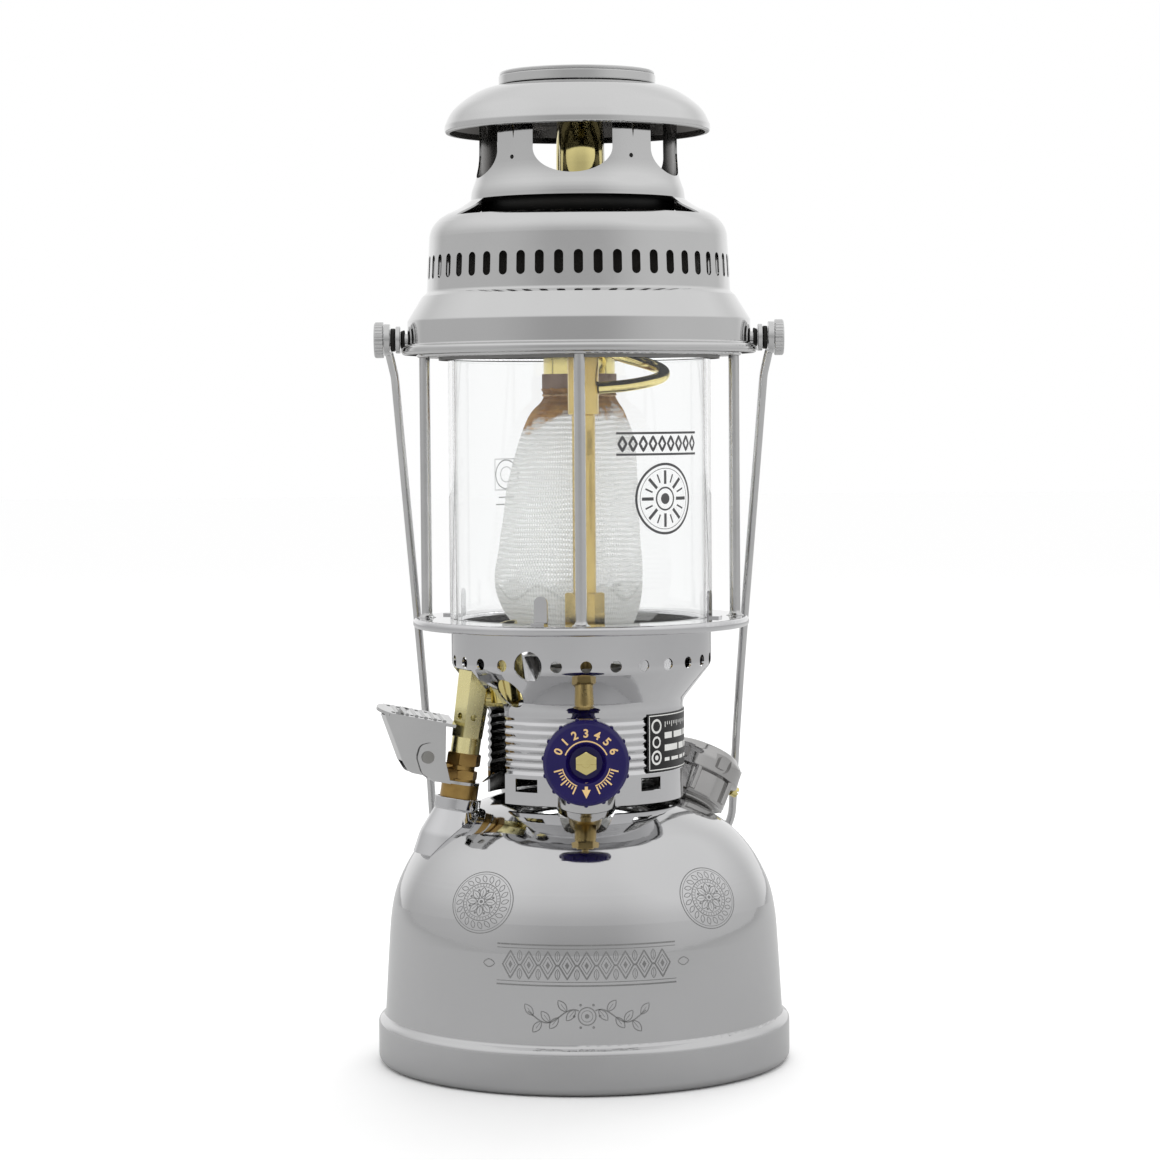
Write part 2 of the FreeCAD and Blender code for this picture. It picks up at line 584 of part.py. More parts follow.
def make_hood():
    shoulder_z = HOOD_TOP_Z - 7.6
    path = [(HOOD_BAND_R - 0.2, HOOD_FOOT_Z), (HOOD_BEAD_R, HOOD_FOOT_Z, 1.4),
            (HOOD_BEAD_R, HOOD_FOOT_Z + 3.2, 1.4), (HOOD_BAND_R, HOOD_FOOT_Z + 4.0, 0.8),
            (HOOD_BAND_R, HOOD_FOOT_Z + 13.6, 1.4), (HOOD_WALL_R + 2.7, HOOD_FOOT_Z + 23.5, 1.2),
            (HOOD_WALL_R + 0.7, HOOD_FOOT_Z + 25.2, 1.6),
            (HOOD_WALL_R - 0.6, shoulder_z - 4.5, SMOOTH), (HOOD_WALL_R - 4.6, shoulder_z + 0.6, SMOOTH),
            (CHIMNEY_FOOT_R + 4.1, HOOD_TOP_Z - 3.0, SMOOTH), (CHIMNEY_FOOT_R, HOOD_TOP_Z)]
    hood = sheet(path, HOOD_SHEET)
    slot_z = HOOD_FOOT_Z + 35.0
    half = HOOD_SLOT_WIDTH / 2
    straight = HOOD_SLOT_HEIGHT - HOOD_SLOT_WIDTH
    near = HOOD_WALL_R - 8
    low = slot_z - straight / 2
    high = slot_z + straight / 2
    slot = joined([box((near, -half, low), (near + 16, half, high)),
                   Part.makeCylinder(half, 16, V(near, 0, low), V(1, 0, 0)),
                   Part.makeCylinder(half, 16, V(near, 0, high), V(1, 0, 0))])
    cuts = [spun(slot, -90 + k * 360 / HOOD_SLOT_COUNT) for k in range(HOOD_SLOT_COUNT)]
    slot_low = HOOD_TOP_Z - CHIMNEY_SLOT_DEPTH
    slot_r = HOOD_WALL_R - 2.0
    shoulder_cut = turned([(CHIMNEY_FOOT_R - 3, slot_low), (slot_r, slot_low), (slot_r, HOOD_TOP_Z + 1),
                           (CHIMNEY_FOOT_R - 3, HOOD_TOP_Z + 1)])
    keep_y = 80 * tan(radians(CHIMNEY_TIE_ANGLE))
    keep = prism([(0, 0), (80, -keep_y), (80, keep_y)], HOOD_TOP_Z - 20, HOOD_TOP_Z + 10)
    cuts.append(without(shoulder_cut, [keep, spun(keep, 180)]))
    notch_half = STUD_R + 0.9
    notch = box((HOOD_WALL_R - 2, -notch_half, HOOD_FOOT_Z - 2), (HOOD_BEAD_R + 8, notch_half, PIVOT_Z))
    notch = notch.fuse(facing_side(rod(notch_half, HOOD_WALL_R - 2, HOOD_BEAD_R + 8), V(0, 0, PIVOT_Z), 1))
    cuts += [notch, spun(notch, 180)]
    add("hood", without(hood, cuts))

    chimney = sheet([(CHIMNEY_FOOT_R, HOOD_TOP_Z), (CHIMNEY_FOOT_R - 0.2, HOOD_TOP_Z + 3.2, SMOOTH),
                     (CHIMNEY_R + 0.4, HOOD_TOP_Z + 10.0, SMOOTH), (CHIMNEY_R, CAP_RIM_Z - 6, SMOOTH),
                     (CHIMNEY_R, CAP_RIM_Z + CAP_SEAT)], HOOD_SHEET)
    pitch = 360.0 / CHIMNEY_POST_COUNT
    opening_half = CHIMNEY_R * sin(radians((pitch - CHIMNEY_POST_ANGLE) / 2))
    spring_z = CAP_RIM_Z - 8.5
    arch_depth = 10.0
    oval = Part.Ellipse(ORIGIN, opening_half, arch_depth)
    oval_face = Part.Face(Part.Wire([oval.toShape()]))
    drop = spun(oval_face.extrude(V(0, 0, 40)), 90)
    drop.rotate(ORIGIN, V(0, 1, 0), 90)
    drop.translate(V(20, 0, spring_z))
    arch = joined([drop, box((20, -opening_half, spring_z), (60, opening_half, CAP_TOP_Z))])
    post_top = CAP_RIM_Z + CAP_SEAT + 1
    v_corners = [V(20, -2.6, post_top), V(20, 2.6, post_top), V(20, 0, CAP_RIM_Z - 4.5)]
    v_notch = Part.Face(Part.makePolygon(v_corners + v_corners[:1])).extrude(V(40, 0, 0))
    cuts = []
    for k in range(CHIMNEY_POST_COUNT):
        cuts.append(spun(arch, CHIMNEY_TURN + k * pitch))
        cuts.append(spun(v_notch, CHIMNEY_TURN + (k + 0.5) * pitch))
    add("chimney_collar", without(chimney, cuts))

    cap = sheet([(CAP_R - 2.0, CAP_RIM_Z), (CAP_R, CAP_RIM_Z, 0.95), (CAP_R, CAP_RIM_Z + 2.8, 1.6),
                 (CAP_R - 2.4, CAP_RIM_Z + 8.4, SMOOTH), (CAP_R - 8.0, CAP_RIM_Z + 13.4, SMOOTH),
                 (CAP_R - 15.6, CAP_TOP_Z - 1.4, SMOOTH), (DISC_R - 2.4, CAP_TOP_Z, SMOOTH),
                 (0, CAP_TOP_Z)], 0.8)
    add("hood_cap", cap)

    add("cap_disc", turned([(0, DISC_TOP_Z - 1.0), (DISC_R - 4.6, DISC_TOP_Z - 1.0, 0.8),
                            (DISC_R - 3.4, DISC_TOP_Z, 0.8), (DISC_R - 0.4, DISC_TOP_Z, 0.6),
                            (DISC_R - 0.4, DISC_TOP_Z - 1.1, 0.4), (DISC_R - 0.8, DISC_TOP_Z - 1.4),
                            (DISC_R, DISC_TOP_Z - 1.7, 0.4), (DISC_R, CAP_TOP_Z, 0.5),
                            (DISC_R - 3.0, CAP_TOP_Z), (DISC_R - 4.0, DISC_TOP_Z - 1.8),
                            (0, DISC_TOP_Z - 1.8)]))


# ---- burner -------------------------------------------------------------------------------------------

def make_burner():
    rim_r = TOP_RING_BORE_R - 0.4
    high = CASING_Z + 49.0
    add("inner_casing", turned([(rim_r, CASING_Z - 2.2), (rim_r, CASING_Z), (rim_r + 3.8, CASING_Z),
                                (rim_r + 3.8, CASING_Z + 0.7), (CASING_R + 1.0, CASING_Z + 0.7, 0.8),
                                (CASING_R, high), (CASING_R - 6.5, high + 4.5), (CASING_R - 7.0, high + 3.9),
                                (CASING_R - 0.7, high - 0.4), (CASING_R - 0.7, CASING_Z - 0.5),
                                (rim_r - 0.7, CASING_Z - 0.5), (rim_r - 0.7, CASING_Z - 2.2)]))

    bridge = box((-BRIDGE_HALF_WIDTH, -CASING_R, BRIDGE_Z), (BRIDGE_HALF_WIDTH, CASING_R, BRIDGE_Z + 1.2))
    bridge = bridge.common(rod(CASING_R - 0.7 - SEAT, BRIDGE_Z - 5, BRIDGE_Z + 5))
    openings = [moved(rod(MIXING_TUBE_R + SEAT, 0, 400), V(0, BURNER_Y, 0)),
                moved(rod(MIXING_TUBE_R + 1.4, 0, 400), VAPORIZER_AXIS)]
    add("burner_bridge", without(bridge, openings))

    tube_places = [V(VAPORIZER_X, VAPORIZER_Y, BRIDGE_Z - 0.2),
                   V(VAPORIZER_X, VAPORIZER_Y, MIXING_TUBE_TOP_Z),
                   V(0, BURNER_Y, MIXING_TUBE_TOP_Z), V(0, BURNER_Y, BRIDGE_Z - 2.0)]
    bend_r = (tube_places[2] - tube_places[1]).Length * 0.499
    add("mixing_tube", pipe(tube_places, [0, bend_r, bend_r, 0], MIXING_TUBE_R, MIXING_TUBE_R - 0.8))

    bore = MIXING_TUBE_R + SEAT
    neck_r = MIXING_TUBE_R + 1.0
    chamber = turned([(CHAMBER_R, NOZZLE_TOP_Z), (CHAMBER_R, BRIDGE_Z - 6.0, 2.0),
                      (neck_r, BRIDGE_Z - 2.6, 1.0), (neck_r, BRIDGE_Z), (bore, BRIDGE_Z),
                      (bore, BRIDGE_Z - 3.2),
                      (CHAMBER_R - 1.0, BRIDGE_Z - 7.0, 1.0), (CHAMBER_R - 1.0, NOZZLE_TOP_Z)])
    add("mixing_chamber", moved(chamber, V(0, BURNER_Y, 0)))

    groove_r = NOZZLE_R - 2.5
    skirt_r = NOZZLE_R - 1.5
    nozzle = turned([(NOZZLE_R, NOZZLE_TOP_Z - 6.0, 0.6), (NOZZLE_R, NOZZLE_TOP_Z), (8.5, NOZZLE_TOP_Z),
                     (8.5, NOZZLE_TOP_Z - 17.0), (skirt_r, NOZZLE_TOP_Z - 17.0, 1.0),
                     (skirt_r, NOZZLE_TOP_Z - 12.0, 0.6), (groove_r, NOZZLE_TOP_Z - 11.0, 0.6),
                     (groove_r, NOZZLE_TOP_Z - 6.0)])
    add("ceramic_nozzle", moved(nozzle, V(0, BURNER_Y, 0)))

    add("mantle", make_mantle())
    add("mantle_tie", moved(Part.makeTorus(14.7, 0.5), V(0, BURNER_Y, NOZZLE_TOP_Z - 8.5)))


def mantle_rings():
    """Centre shift, radius and height of the mantle's sections, from the frill down to the base."""
    top = NOZZLE_TOP_Z
    bag = (NOZZLE_TOP_Z - 12.0 - MANTLE_LOW_Z) / 101.0
    return [(0.0, 15.9, top - 6.3), (0.0, 14.0, top - 8.5), (-0.4, 16.0, top - 12.0),
            (-0.8, 19.4, top - 16.0), (-1.2, 23.0, top - 12.0 - 14.0 * bag),
            (-2.8, 26.2, top - 12.0 - 29.0 * bag),
            (-4.4, 29.3, top - 12.0 - 56.0 * bag), (-5.2, MANTLE_R, top - 12.0 - 72.0 * bag),
            (-4.6, MANTLE_R - 1.9, top - 12.0 - 84.0 * bag), (-3.6, MANTLE_R - 8.0, top - 12.0 - 94.0 * bag),
            (-3.2, 10.0, MANTLE_LOW_Z)]


def mantle_solid(rings, inset):
    wires = []
    for shift, radius, z in rings:
        lift = inset if z == rings[-1][2] else 0
        centre = V(shift, BURNER_Y - 0.4 * shift, z + lift)
        wires.append(Part.Wire([Part.makeCircle(radius - inset, centre, UP)]))
    return Part.makeLoft(wires, True, False)


def make_mantle():
    rings = mantle_rings()
    bag = mantle_solid(rings, 0.0).cut(mantle_solid(rings, MANTLE_WALL))
    room = rod(NOZZLE_R - 1.4, NOZZLE_TOP_Z - 12.5, NOZZLE_TOP_Z)
    bag = bag.cut(moved(room, V(0, BURNER_Y, 0)))
    return max(bag.Solids, key=lambda solid: solid.Volume)


# ---- vaporizer and control ----------------------------------------------------------------------------

def make_vaporizer():
    base_z = VAPORIZER_BASE_Z
    lower_z = VAPORIZER_NUT_Z
    column = turned([(0, base_z), (11.0, base_z), (11.0, base_z + 4.0, 0.8), (9.0, base_z + 6.0, 1.0),
                     (9.0, SPINDLE_Z + 12.0, 1.0), (5.8, SPINDLE_Z + 15.0, 1.0), (5.8, lower_z),
                     (0, lower_z)])
    column = moved(column, VAPORIZER_AXIS)
    arm = facing_front(rod(6.0, -VAPORIZER_Y, -SPINDLE_ARM_Y), V(VAPORIZER_X, 0, SPINDLE_Z))
    body = joined([column, arm])
    crank_room = facing_front(rod(CRANK_THROW + 3.4, -VAPORIZER_Y - 5.2, -VAPORIZER_Y + 6.2),
                              V(VAPORIZER_X, 0, SPINDLE_Z))
    shaft_room = facing_front(rod(SPINDLE_R + RUNNING, -VAPORIZER_Y, -SPINDLE_ARM_Y + 7),
                              V(VAPORIZER_X, 0, SPINDLE_Z))
    rod_room = moved(rod(NEEDLE_ROD_R + RUNNING, base_z - 2, lower_z + 1), VAPORIZER_AXIS)
    yoke_room = box((VAPORIZER_X - 5.4, VAPORIZER_Y - 5.2, SPINDLE_Z - 10.4),
                    (VAPORIZER_X + 5.4, VAPORIZER_Y + 5.2, SPINDLE_Z + 10.4))
    add("vaporizer_base", without(body, [crank_room, shaft_room, rod_room, yoke_room]))

    nut = hexagon(13.6, lower_z, lower_z + 14.0, VAPORIZER_R - 0.9, 0.9)
    add("vaporizer_nut", moved(nut, VAPORIZER_AXIS))

    head_z = VAPORIZER_TOP_Z - 31.0
    bore = VAPORIZER_R - 0.9
    block_z = VAPORIZER_TOP_Z - 8.0
    tube = turned([(bore, lower_z + 14.0), (VAPORIZER_R, lower_z + 14.0), (VAPORIZER_R, head_z),
                   (VAPORIZER_HEAD_R, head_z + 0.6), (VAPORIZER_HEAD_R, block_z), (bore, block_z)])
    block = turned([(0, block_z), (VAPORIZER_HEAD_R, block_z), (VAPORIZER_HEAD_R, VAPORIZER_TOP_Z - 1.0, 0.8),
                    (0, VAPORIZER_TOP_Z - 1.0)])
    block = moved(block, VAPORIZER_AXIS)
    needle_room = moved(rod(NEEDLE_ROD_R + RUNNING, block_z - 1, VAPORIZER_TOP_Z), VAPORIZER_AXIS)
    add("vaporizer_tube", joined([moved(tube, VAPORIZER_AXIS), block.cut(needle_room)]))

    loop_start = V(VAPORIZER_X, VAPORIZER_Y, 0) + V(VAPORIZER_HEAD_R, 0, head_z + 11.0)
    steps = [V(0, 0, 0), V(12.0, 0, 0.8), V(24.6, 2.0, 3.4), V(27.0, 15.0, 6.6), V(20.5, 26.5, 9.8),
             V(8.5, 24.0, 13.0), V(2.0, 13.5, 16.0)]
    places = [loop_start + step for step in steps]
    places.append(V(VAPORIZER_X, VAPORIZER_Y + VAPORIZER_HEAD_R, block_z + 4.4))
    loop = swept(places, corner_radii([(place, SMOOTH) for place in places]), LOOP_R)
    loop = loop.cut(moved(rod(VAPORIZER_HEAD_R, head_z, VAPORIZER_TOP_Z), VAPORIZER_AXIS))
    add("vaporizer_loop", max(loop.Solids, key=lambda solid: solid.Volume))

    jet = joined([hexagon(8.0, VAPORIZER_TOP_Z - 1.0, VAPORIZER_TOP_Z + 1.6, 0, 0.4),
                  turned([(0, VAPORIZER_TOP_Z + 1.0), (2.4, VAPORIZER_TOP_Z + 1.0),
                          (1.2, VAPORIZER_TOP_Z + 4.4), (0, VAPORIZER_TOP_Z + 4.4)])])
    jet = jet.cut(rod(NEEDLE_ROD_R + RUNNING, VAPORIZER_TOP_Z - 2, VAPORIZER_TOP_Z + 0.8))
    add("jet", moved(jet.cut(rod(0.35, VAPORIZER_TOP_Z - 5, VAPORIZER_TOP_Z + 5)), VAPORIZER_AXIS))

    dip_low = 14.0
    dip = rod(DIP_TUBE_R, dip_low + 12, base_z, 3.0)
    foot = turned([(0, dip_low), (5.6, dip_low, 0.8), (5.6, dip_low + 12, 0.6), (0, dip_low + 12)])
    foot = foot.cut(rod(1.2, dip_low - 1, dip_low + 13))
    add("dip_tube", moved(dip, VAPORIZER_AXIS), moved(foot, VAPORIZER_AXIS))

    cup_z = lower_z - 22.0
    cup = sheet([(7.0, cup_z + 4.0), (7.0, cup_z, 1.2), (16.0, cup_z, 2.5), (16.0, cup_z + 6.5)], 0.6)
    add("spirit_cup", moved(joined([cup, rod(7.4, cup_z, cup_z + 0.6, 5.85)]), VAPORIZER_AXIS))

    near = 0.2 - SPINDLE_ARM_Y
    bore = SPINDLE_R + RUNNING
    packing = hexagon(14.0, near, near + 7.8, bore, 0.7)
    collar = turned([(bore, near + 7.8), (5.4, near + 7.8), (5.4, near + 9.8, 0.6), (bore, near + 9.8)])
    add("packing_nut", facing_front(joined([packing, collar]), V(VAPORIZER_X, 0, SPINDLE_Z)))


def make_control():
    """Spindle with its eccentric pin, the wheel with its nut, and the rod with the cleaning needle."""
    axis = V(VAPORIZER_X, 0, SPINDLE_Z)
    wheel_back = -WHEEL_FRONT_Y - WHEEL_THICKNESS
    spindle = joined([rod(SPINDLE_R, -VAPORIZER_Y + 2.6, wheel_back + 5.2),
                      rod(CRANK_THROW + 2.4, -VAPORIZER_Y + 2.6, -VAPORIZER_Y + 5.4),
                      Part.makeCylinder(CRANK_PIN_R, 5.0, V(0, -CRANK_THROW, -VAPORIZER_Y - 2.0))])
    add("valve_spindle", facing_front(spindle, axis))

    wheel = turned([(SPINDLE_R + SEAT, wheel_back), (WHEEL_R - 2.0, wheel_back, 1.0),
                    (WHEEL_R, wheel_back + 2.2, 1.5), (WHEEL_R, wheel_back + 7.0, 1.6),
                    (WHEEL_R - 1.6, wheel_back + 9.0, 1.2), (8.0, wheel_back + 8.4, 0.8),
                    (6.4, wheel_back + 5.2, 0.4), (SPINDLE_R + SEAT, wheel_back + 5.2)])
    nub = Part.makeCylinder(0.9, 3.6, V(WHEEL_R - 0.25, 0, wheel_back + 2.6))
    nubs = [spun(nub, 5.6 + k * 360 / WHEEL_NUB_COUNT) for k in range(WHEEL_NUB_COUNT)]
    add("handwheel", facing_front(joined([wheel] + nubs), axis))

    nut = hexagon(7.9, wheel_back + 5.2, wheel_back + 8.6, 0, 0.6)
    slot = box((-5, -0.5, wheel_back + 7.8), (5, 0.5, wheel_back + 9))
    dimple = rod(1.7, wheel_back + 8.0, wheel_back + 9.0)
    add("handwheel_nut", facing_front(without(spun(nut, 90), [slot, dimple]), axis))

    centre = moved(rod(NEEDLE_ROD_R, SPINDLE_Z + 4.2, VAPORIZER_TOP_Z - 6.0), VAPORIZER_AXIS)
    needle = moved(rod(0.25, VAPORIZER_TOP_Z - 6.5, VAPORIZER_TOP_Z + 3.2), VAPORIZER_AXIS)
    yoke_low = SPINDLE_Z - CRANK_THROW - 2.8
    yoke = moved(box((-4.8, -1.6, yoke_low), (4.8, 1.6, yoke_low + 6.6)), VAPORIZER_AXIS)
    window = box((VAPORIZER_X - 3.6, VAPORIZER_Y - 2.0, SPINDLE_Z - CRANK_THROW - 1.8),
                 (VAPORIZER_X + 3.6, VAPORIZER_Y + 2.0, SPINDLE_Z - CRANK_THROW + 1.8))
    stem = moved(rod(NEEDLE_ROD_R, yoke_low + 6.0, SPINDLE_Z + 5.0), VAPORIZER_AXIS)
    add("cleaning_rod", joined([centre, needle, yoke.cut(window), stem]))


# ---- preheater ----------------------------------------------------------------------------------------

def in_preheater_plane(shape):
    """Turn a piece drawn with u along +X and z up to the preheater's azimuth."""
    return spun(shape, PREHEATER_AZIMUTH)


def upright_plate(outline, thickness, centre_v):
    """A plate in the preheater's plane, from (u, z) corners with radii."""
    points = [(V(c[0], centre_v - thickness / 2, c[1]), c[2] if len(c) > 2 else 0) for c in outline]
    radii = corner_radii(points)
    places = [p[0] for p in points]
    edges = rounded_edges(places, radii) + [Part.makeLine(places[-1], places[0])]
    return Part.Face(Part.Wire(edges)).extrude(V(0, thickness, 0))


def from_pin(u, z, radius=0.0):
    """An outline corner measured from the lever's pin."""
    return (LEVER_PIN_U + u, LEVER_PIN_Z + z, radius)


def across_pin(radius, low, high):
    """A bar along the lever's pin, from low to high across the plane."""
    return Part.makeCylinder(radius, high - low, V(LEVER_PIN_U, low, LEVER_PIN_Z), V(0, 1, 0))


def make_preheater():
    nut_low = BRACKET_PLATE_TOP + 0.8
    lower = joined([rod(7.6, 13.2, BRACKET_PLATE_LOW), rod(6.0, BRACKET_PLATE_TOP, nut_low),
                    hexagon(11.2, nut_low, nut_low + 3.7, 0, 0.6), rod(4.9, nut_low + 3.0, nut_low + 5.8),
                    hexagon(12.2, nut_low + 5.6, nut_low + 10.6, 0, 0.6)])
    torch_low = nut_low + 10.6
    valve_z = LEVER_PIN_Z - CAM_DROP
    bore_start = V(PREHEATER_FOOT_R - 6.2, 0, valve_z)
    valve_bore = in_preheater_plane(Part.makeCylinder(VALVE_ROD_R + RUNNING, 12, bore_start, V(1, 0, 0)))
    valve = joined([lower, rod(5.2, BRACKET_PLATE_LOW - 0.6, BRACKET_PLATE_TOP + 0.2)])
    add("preheater_valve", on_preheater(valve).cut(valve_bore))

    torch = joined([tapered_hexagon(TORCH_FLATS, TORCH_TOP_FLATS, TORCH_HEX_LOW, TORCH_TOP),
                    rod(5.9, torch_low, TORCH_HEX_LOW)])
    torch = torch.cut(rod(4.4, torch_low + 2.0, TORCH_TOP + 5))
    slope = 0.98
    wedge = prism([(-30, 0), (30, 60 * slope), (30, 90), (-30, 90)], -20, 20)
    wedge.rotate(ORIGIN, V(1, 0, 0), 90)
    wedge.translate(V(0, 0, TORCH_TOP - 3.4 - 30 * slope))
    air_hole = Part.makeCylinder(1.3, 20, V(0, 0, 47.0), V(1, 0, 0))
    torch = without(torch, [wedge] + [spun(air_hole, 30 + k * 60) for k in range(6)])
    add("torch_body", on_preheater(torch))

    elbow_places = [V(0, 0, 55.5), V(-8.0, 0.5, 56.2), V(-18.5, 1.8, 56.4)]
    elbow_radii = corner_radii([(place, SMOOTH) for place in elbow_places])
    hex_room = tapered_hexagon(TORCH_FLATS, TORCH_TOP_FLATS, TORCH_HEX_LOW, TORCH_TOP)
    elbow = pipe(elbow_places, elbow_radii, ELBOW_R, ELBOW_R - 0.8).cut(hex_room)
    elbow = on_preheater(max(elbow.Solids, key=lambda solid: solid.Volume))
    add("torch_elbow", elbow)

    mouth_r = 7.6
    mouth = turned([(mouth_r - 0.8, 0), (mouth_r, 0), (mouth_r, 40), (mouth_r - 0.8, 40)])
    floor = rod(mouth_r, -0.8, 0)
    flame = joined([mouth, floor])
    flame = flame.cut(stand(box((-20, -20, 0), (20, 20, 30)), V(0, 0, 29.0), 0, 14))
    flame = stand(flame, V(-29.5, -13.5, COLLAR_FLARE_Z + 2.0), 205, 8)
    elbow_room = on_preheater(swept(elbow_places, elbow_radii, ELBOW_R + SEAT))
    add("flame_tube", max(flame.cut(elbow_room).Solids, key=lambda solid: solid.Volume))

    ring = joined([rod(7.7, BRACKET_PLATE_LOW, BRACKET_PLATE_TOP),
                   box((0, -5.9, BRACKET_PLATE_LOW), (13.0, 5.9, BRACKET_PLATE_TOP))])
    ring = on_preheater(ring.cut(rod(5.2, BRACKET_PLATE_LOW - 1, BRACKET_PLATE_TOP + 1)))
    lug_outline = [from_pin(-9.4, -11.2), from_pin(-2.6, -9.8, 2.0), from_pin(2.4, -6.4, 3.0),
                   from_pin(4.3, 0.0, 4.0), from_pin(2.8, 4.9, 3.0), from_pin(-1.5, 5.8, 3.0),
                   from_pin(-5.8, 3.2, 3.0), from_pin(-7.4, -2.0, 4.0)]
    lugs = [upright_plate(lug_outline, 1.0, side * (LEVER_WIDTH / 2 + 0.3 + 0.8)) for side in (1, -1)]
    lugs = [in_preheater_plane(lug.cut(across_pin(LEVER_PIN_R, -15, 15))) for lug in lugs]
    add("lever_bracket", joined([ring] + lugs))

    half_pin = LEVER_WIDTH / 2 + 2.4
    pin = joined([across_pin(LEVER_PIN_R, -half_pin, half_pin),
                  across_pin(LEVER_PIN_R + 0.9, half_pin - 0.8, half_pin + 0.1),
                  across_pin(LEVER_PIN_R + 0.9, -half_pin - 0.1, 0.8 - half_pin)])
    add("lever_pin", in_preheater_plane(pin))

    rod_tip = LEVER_PIN_U - CAM_R - 0.3
    rod_start = PREHEATER_FOOT_R - 3.3
    shank = Part.makeCylinder(VALVE_ROD_R, rod_tip - rod_start, V(rod_start, 0, valve_z), V(1, 0, 0))
    plunger = joined([shank, Part.makeCylinder(2.6, 1.0, V(rod_tip - 1.3, 0, valve_z), V(1, 0, 0))])
    add("preheater_plunger", in_preheater_plane(plunger))


def lever_side(side):
    """One side plate of the lever: side 1 is at the front, where the leaning pad is lower."""
    drop = side * LEVER_WIDTH / 2 * sin(radians(LEVER_PAD_TIP))
    outline = [from_pin(-7.8, -1.7, 2.0), from_pin(-8.2, 13.6 - drop, 0.8), from_pin(17.3, 19.6 - drop, 1.2),
               from_pin(16.7, 17.2 - drop, 1.0), from_pin(9.9, -1.6, 4.0), from_pin(7.3, -6.0, 4.0),
               from_pin(0.8, -7.6, 3.0), from_pin(-3.7, -7.2, 2.0)]
    return upright_plate(outline, LEVER_SHEET, side * (LEVER_WIDTH - LEVER_SHEET) / 2)


def lever_pad():
    """The thumb pad, with raised cross ribs and a row of holes along each edge."""
    run = 31.2
    rise = 6.6
    length = hypot(run, rise)
    half = LEVER_PAD_WIDTH / 2
    tip = Part.makeCylinder(half, 1.3, V(length - half, 0, 0))
    tip = tip.common(box((length - 2 * half, -half, 0), (length, half, 1.3)))
    pad = joined([box((0, -half, 0), (length - 4.0, half, 1.3)), tip])
    first_hole = 6.5
    holes = [first_hole + k * LEVER_RIB_PITCH for k in range(LEVER_RIB_COUNT)]
    ribs = [Part.makeCylinder(0.95, LEVER_PAD_WIDTH - 4.4, V(u - LEVER_RIB_PITCH / 2, 2.2 - half, 1.0),
                              V(0, 1, 0)) for u in holes]
    pad = joined([pad] + ribs)
    pad = without(pad, [Part.makeCylinder(0.85, 4, V(u, side * (half - 2.4), -1)) for u in holes
                        for side in (1, -1)])
    pad.rotate(ORIGIN, V(1, 0, 0), -LEVER_PAD_TIP)
    pad.rotate(ORIGIN, V(0, 1, 0), -degrees(atan2(rise, run)))
    pad.translate(V(LEVER_PIN_U - 11.6, 0, LEVER_PIN_Z + 12.9))
    return pad


def make_lever():
    back_outline = [from_pin(16.9, 17.4), from_pin(10.2, -1.2), from_pin(9.3, -0.9), from_pin(15.9, 17.4)]
    back = upright_plate(back_outline, LEVER_WIDTH, 0)
    inner = LEVER_WIDTH - 0.4
    cam = Part.makeCylinder(CAM_R, inner, V(LEVER_PIN_U, -inner / 2, LEVER_PIN_Z - CAM_DROP), V(0, 1, 0))
    lever = joined([lever_side(1), lever_side(-1), back, lever_pad(), cam])
    add("preheater_lever", in_preheater_plane(lever.cut(across_pin(LEVER_PIN_R + RUNNING, -15, 15))))


# ---- filler cap ---------------------------------------------------------------------------------------

def filler_grip(step_z, top):
    """A finger recess in the cap's side, open at the top and round at its lower end."""
    half = FILLER_GRIP_WIDTH / 2
    near = FILLER_CAP_R - 1.7
    low = step_z + 1.4
    return joined([box((near, -half, low + half), (near + 10, half, top + 1)),
                   Part.makeCylinder(half, 10, V(near, 0, low + half), V(1, 0, 0))])


def filler_tongue(step_z):
    """The raised tongue inside a finger recess."""
    half = FILLER_GRIP_WIDTH / 2 - 2.2
    near = FILLER_CAP_R - 3.0
    low = step_z + 3.4
    tongue = joined([box((near, -half, low), (near + 2.5, half, low + 3.6)),
                     Part.makeCylinder(half, 2.5, V(near, 0, low + 3.6), V(1, 0, 0))])
    return tongue


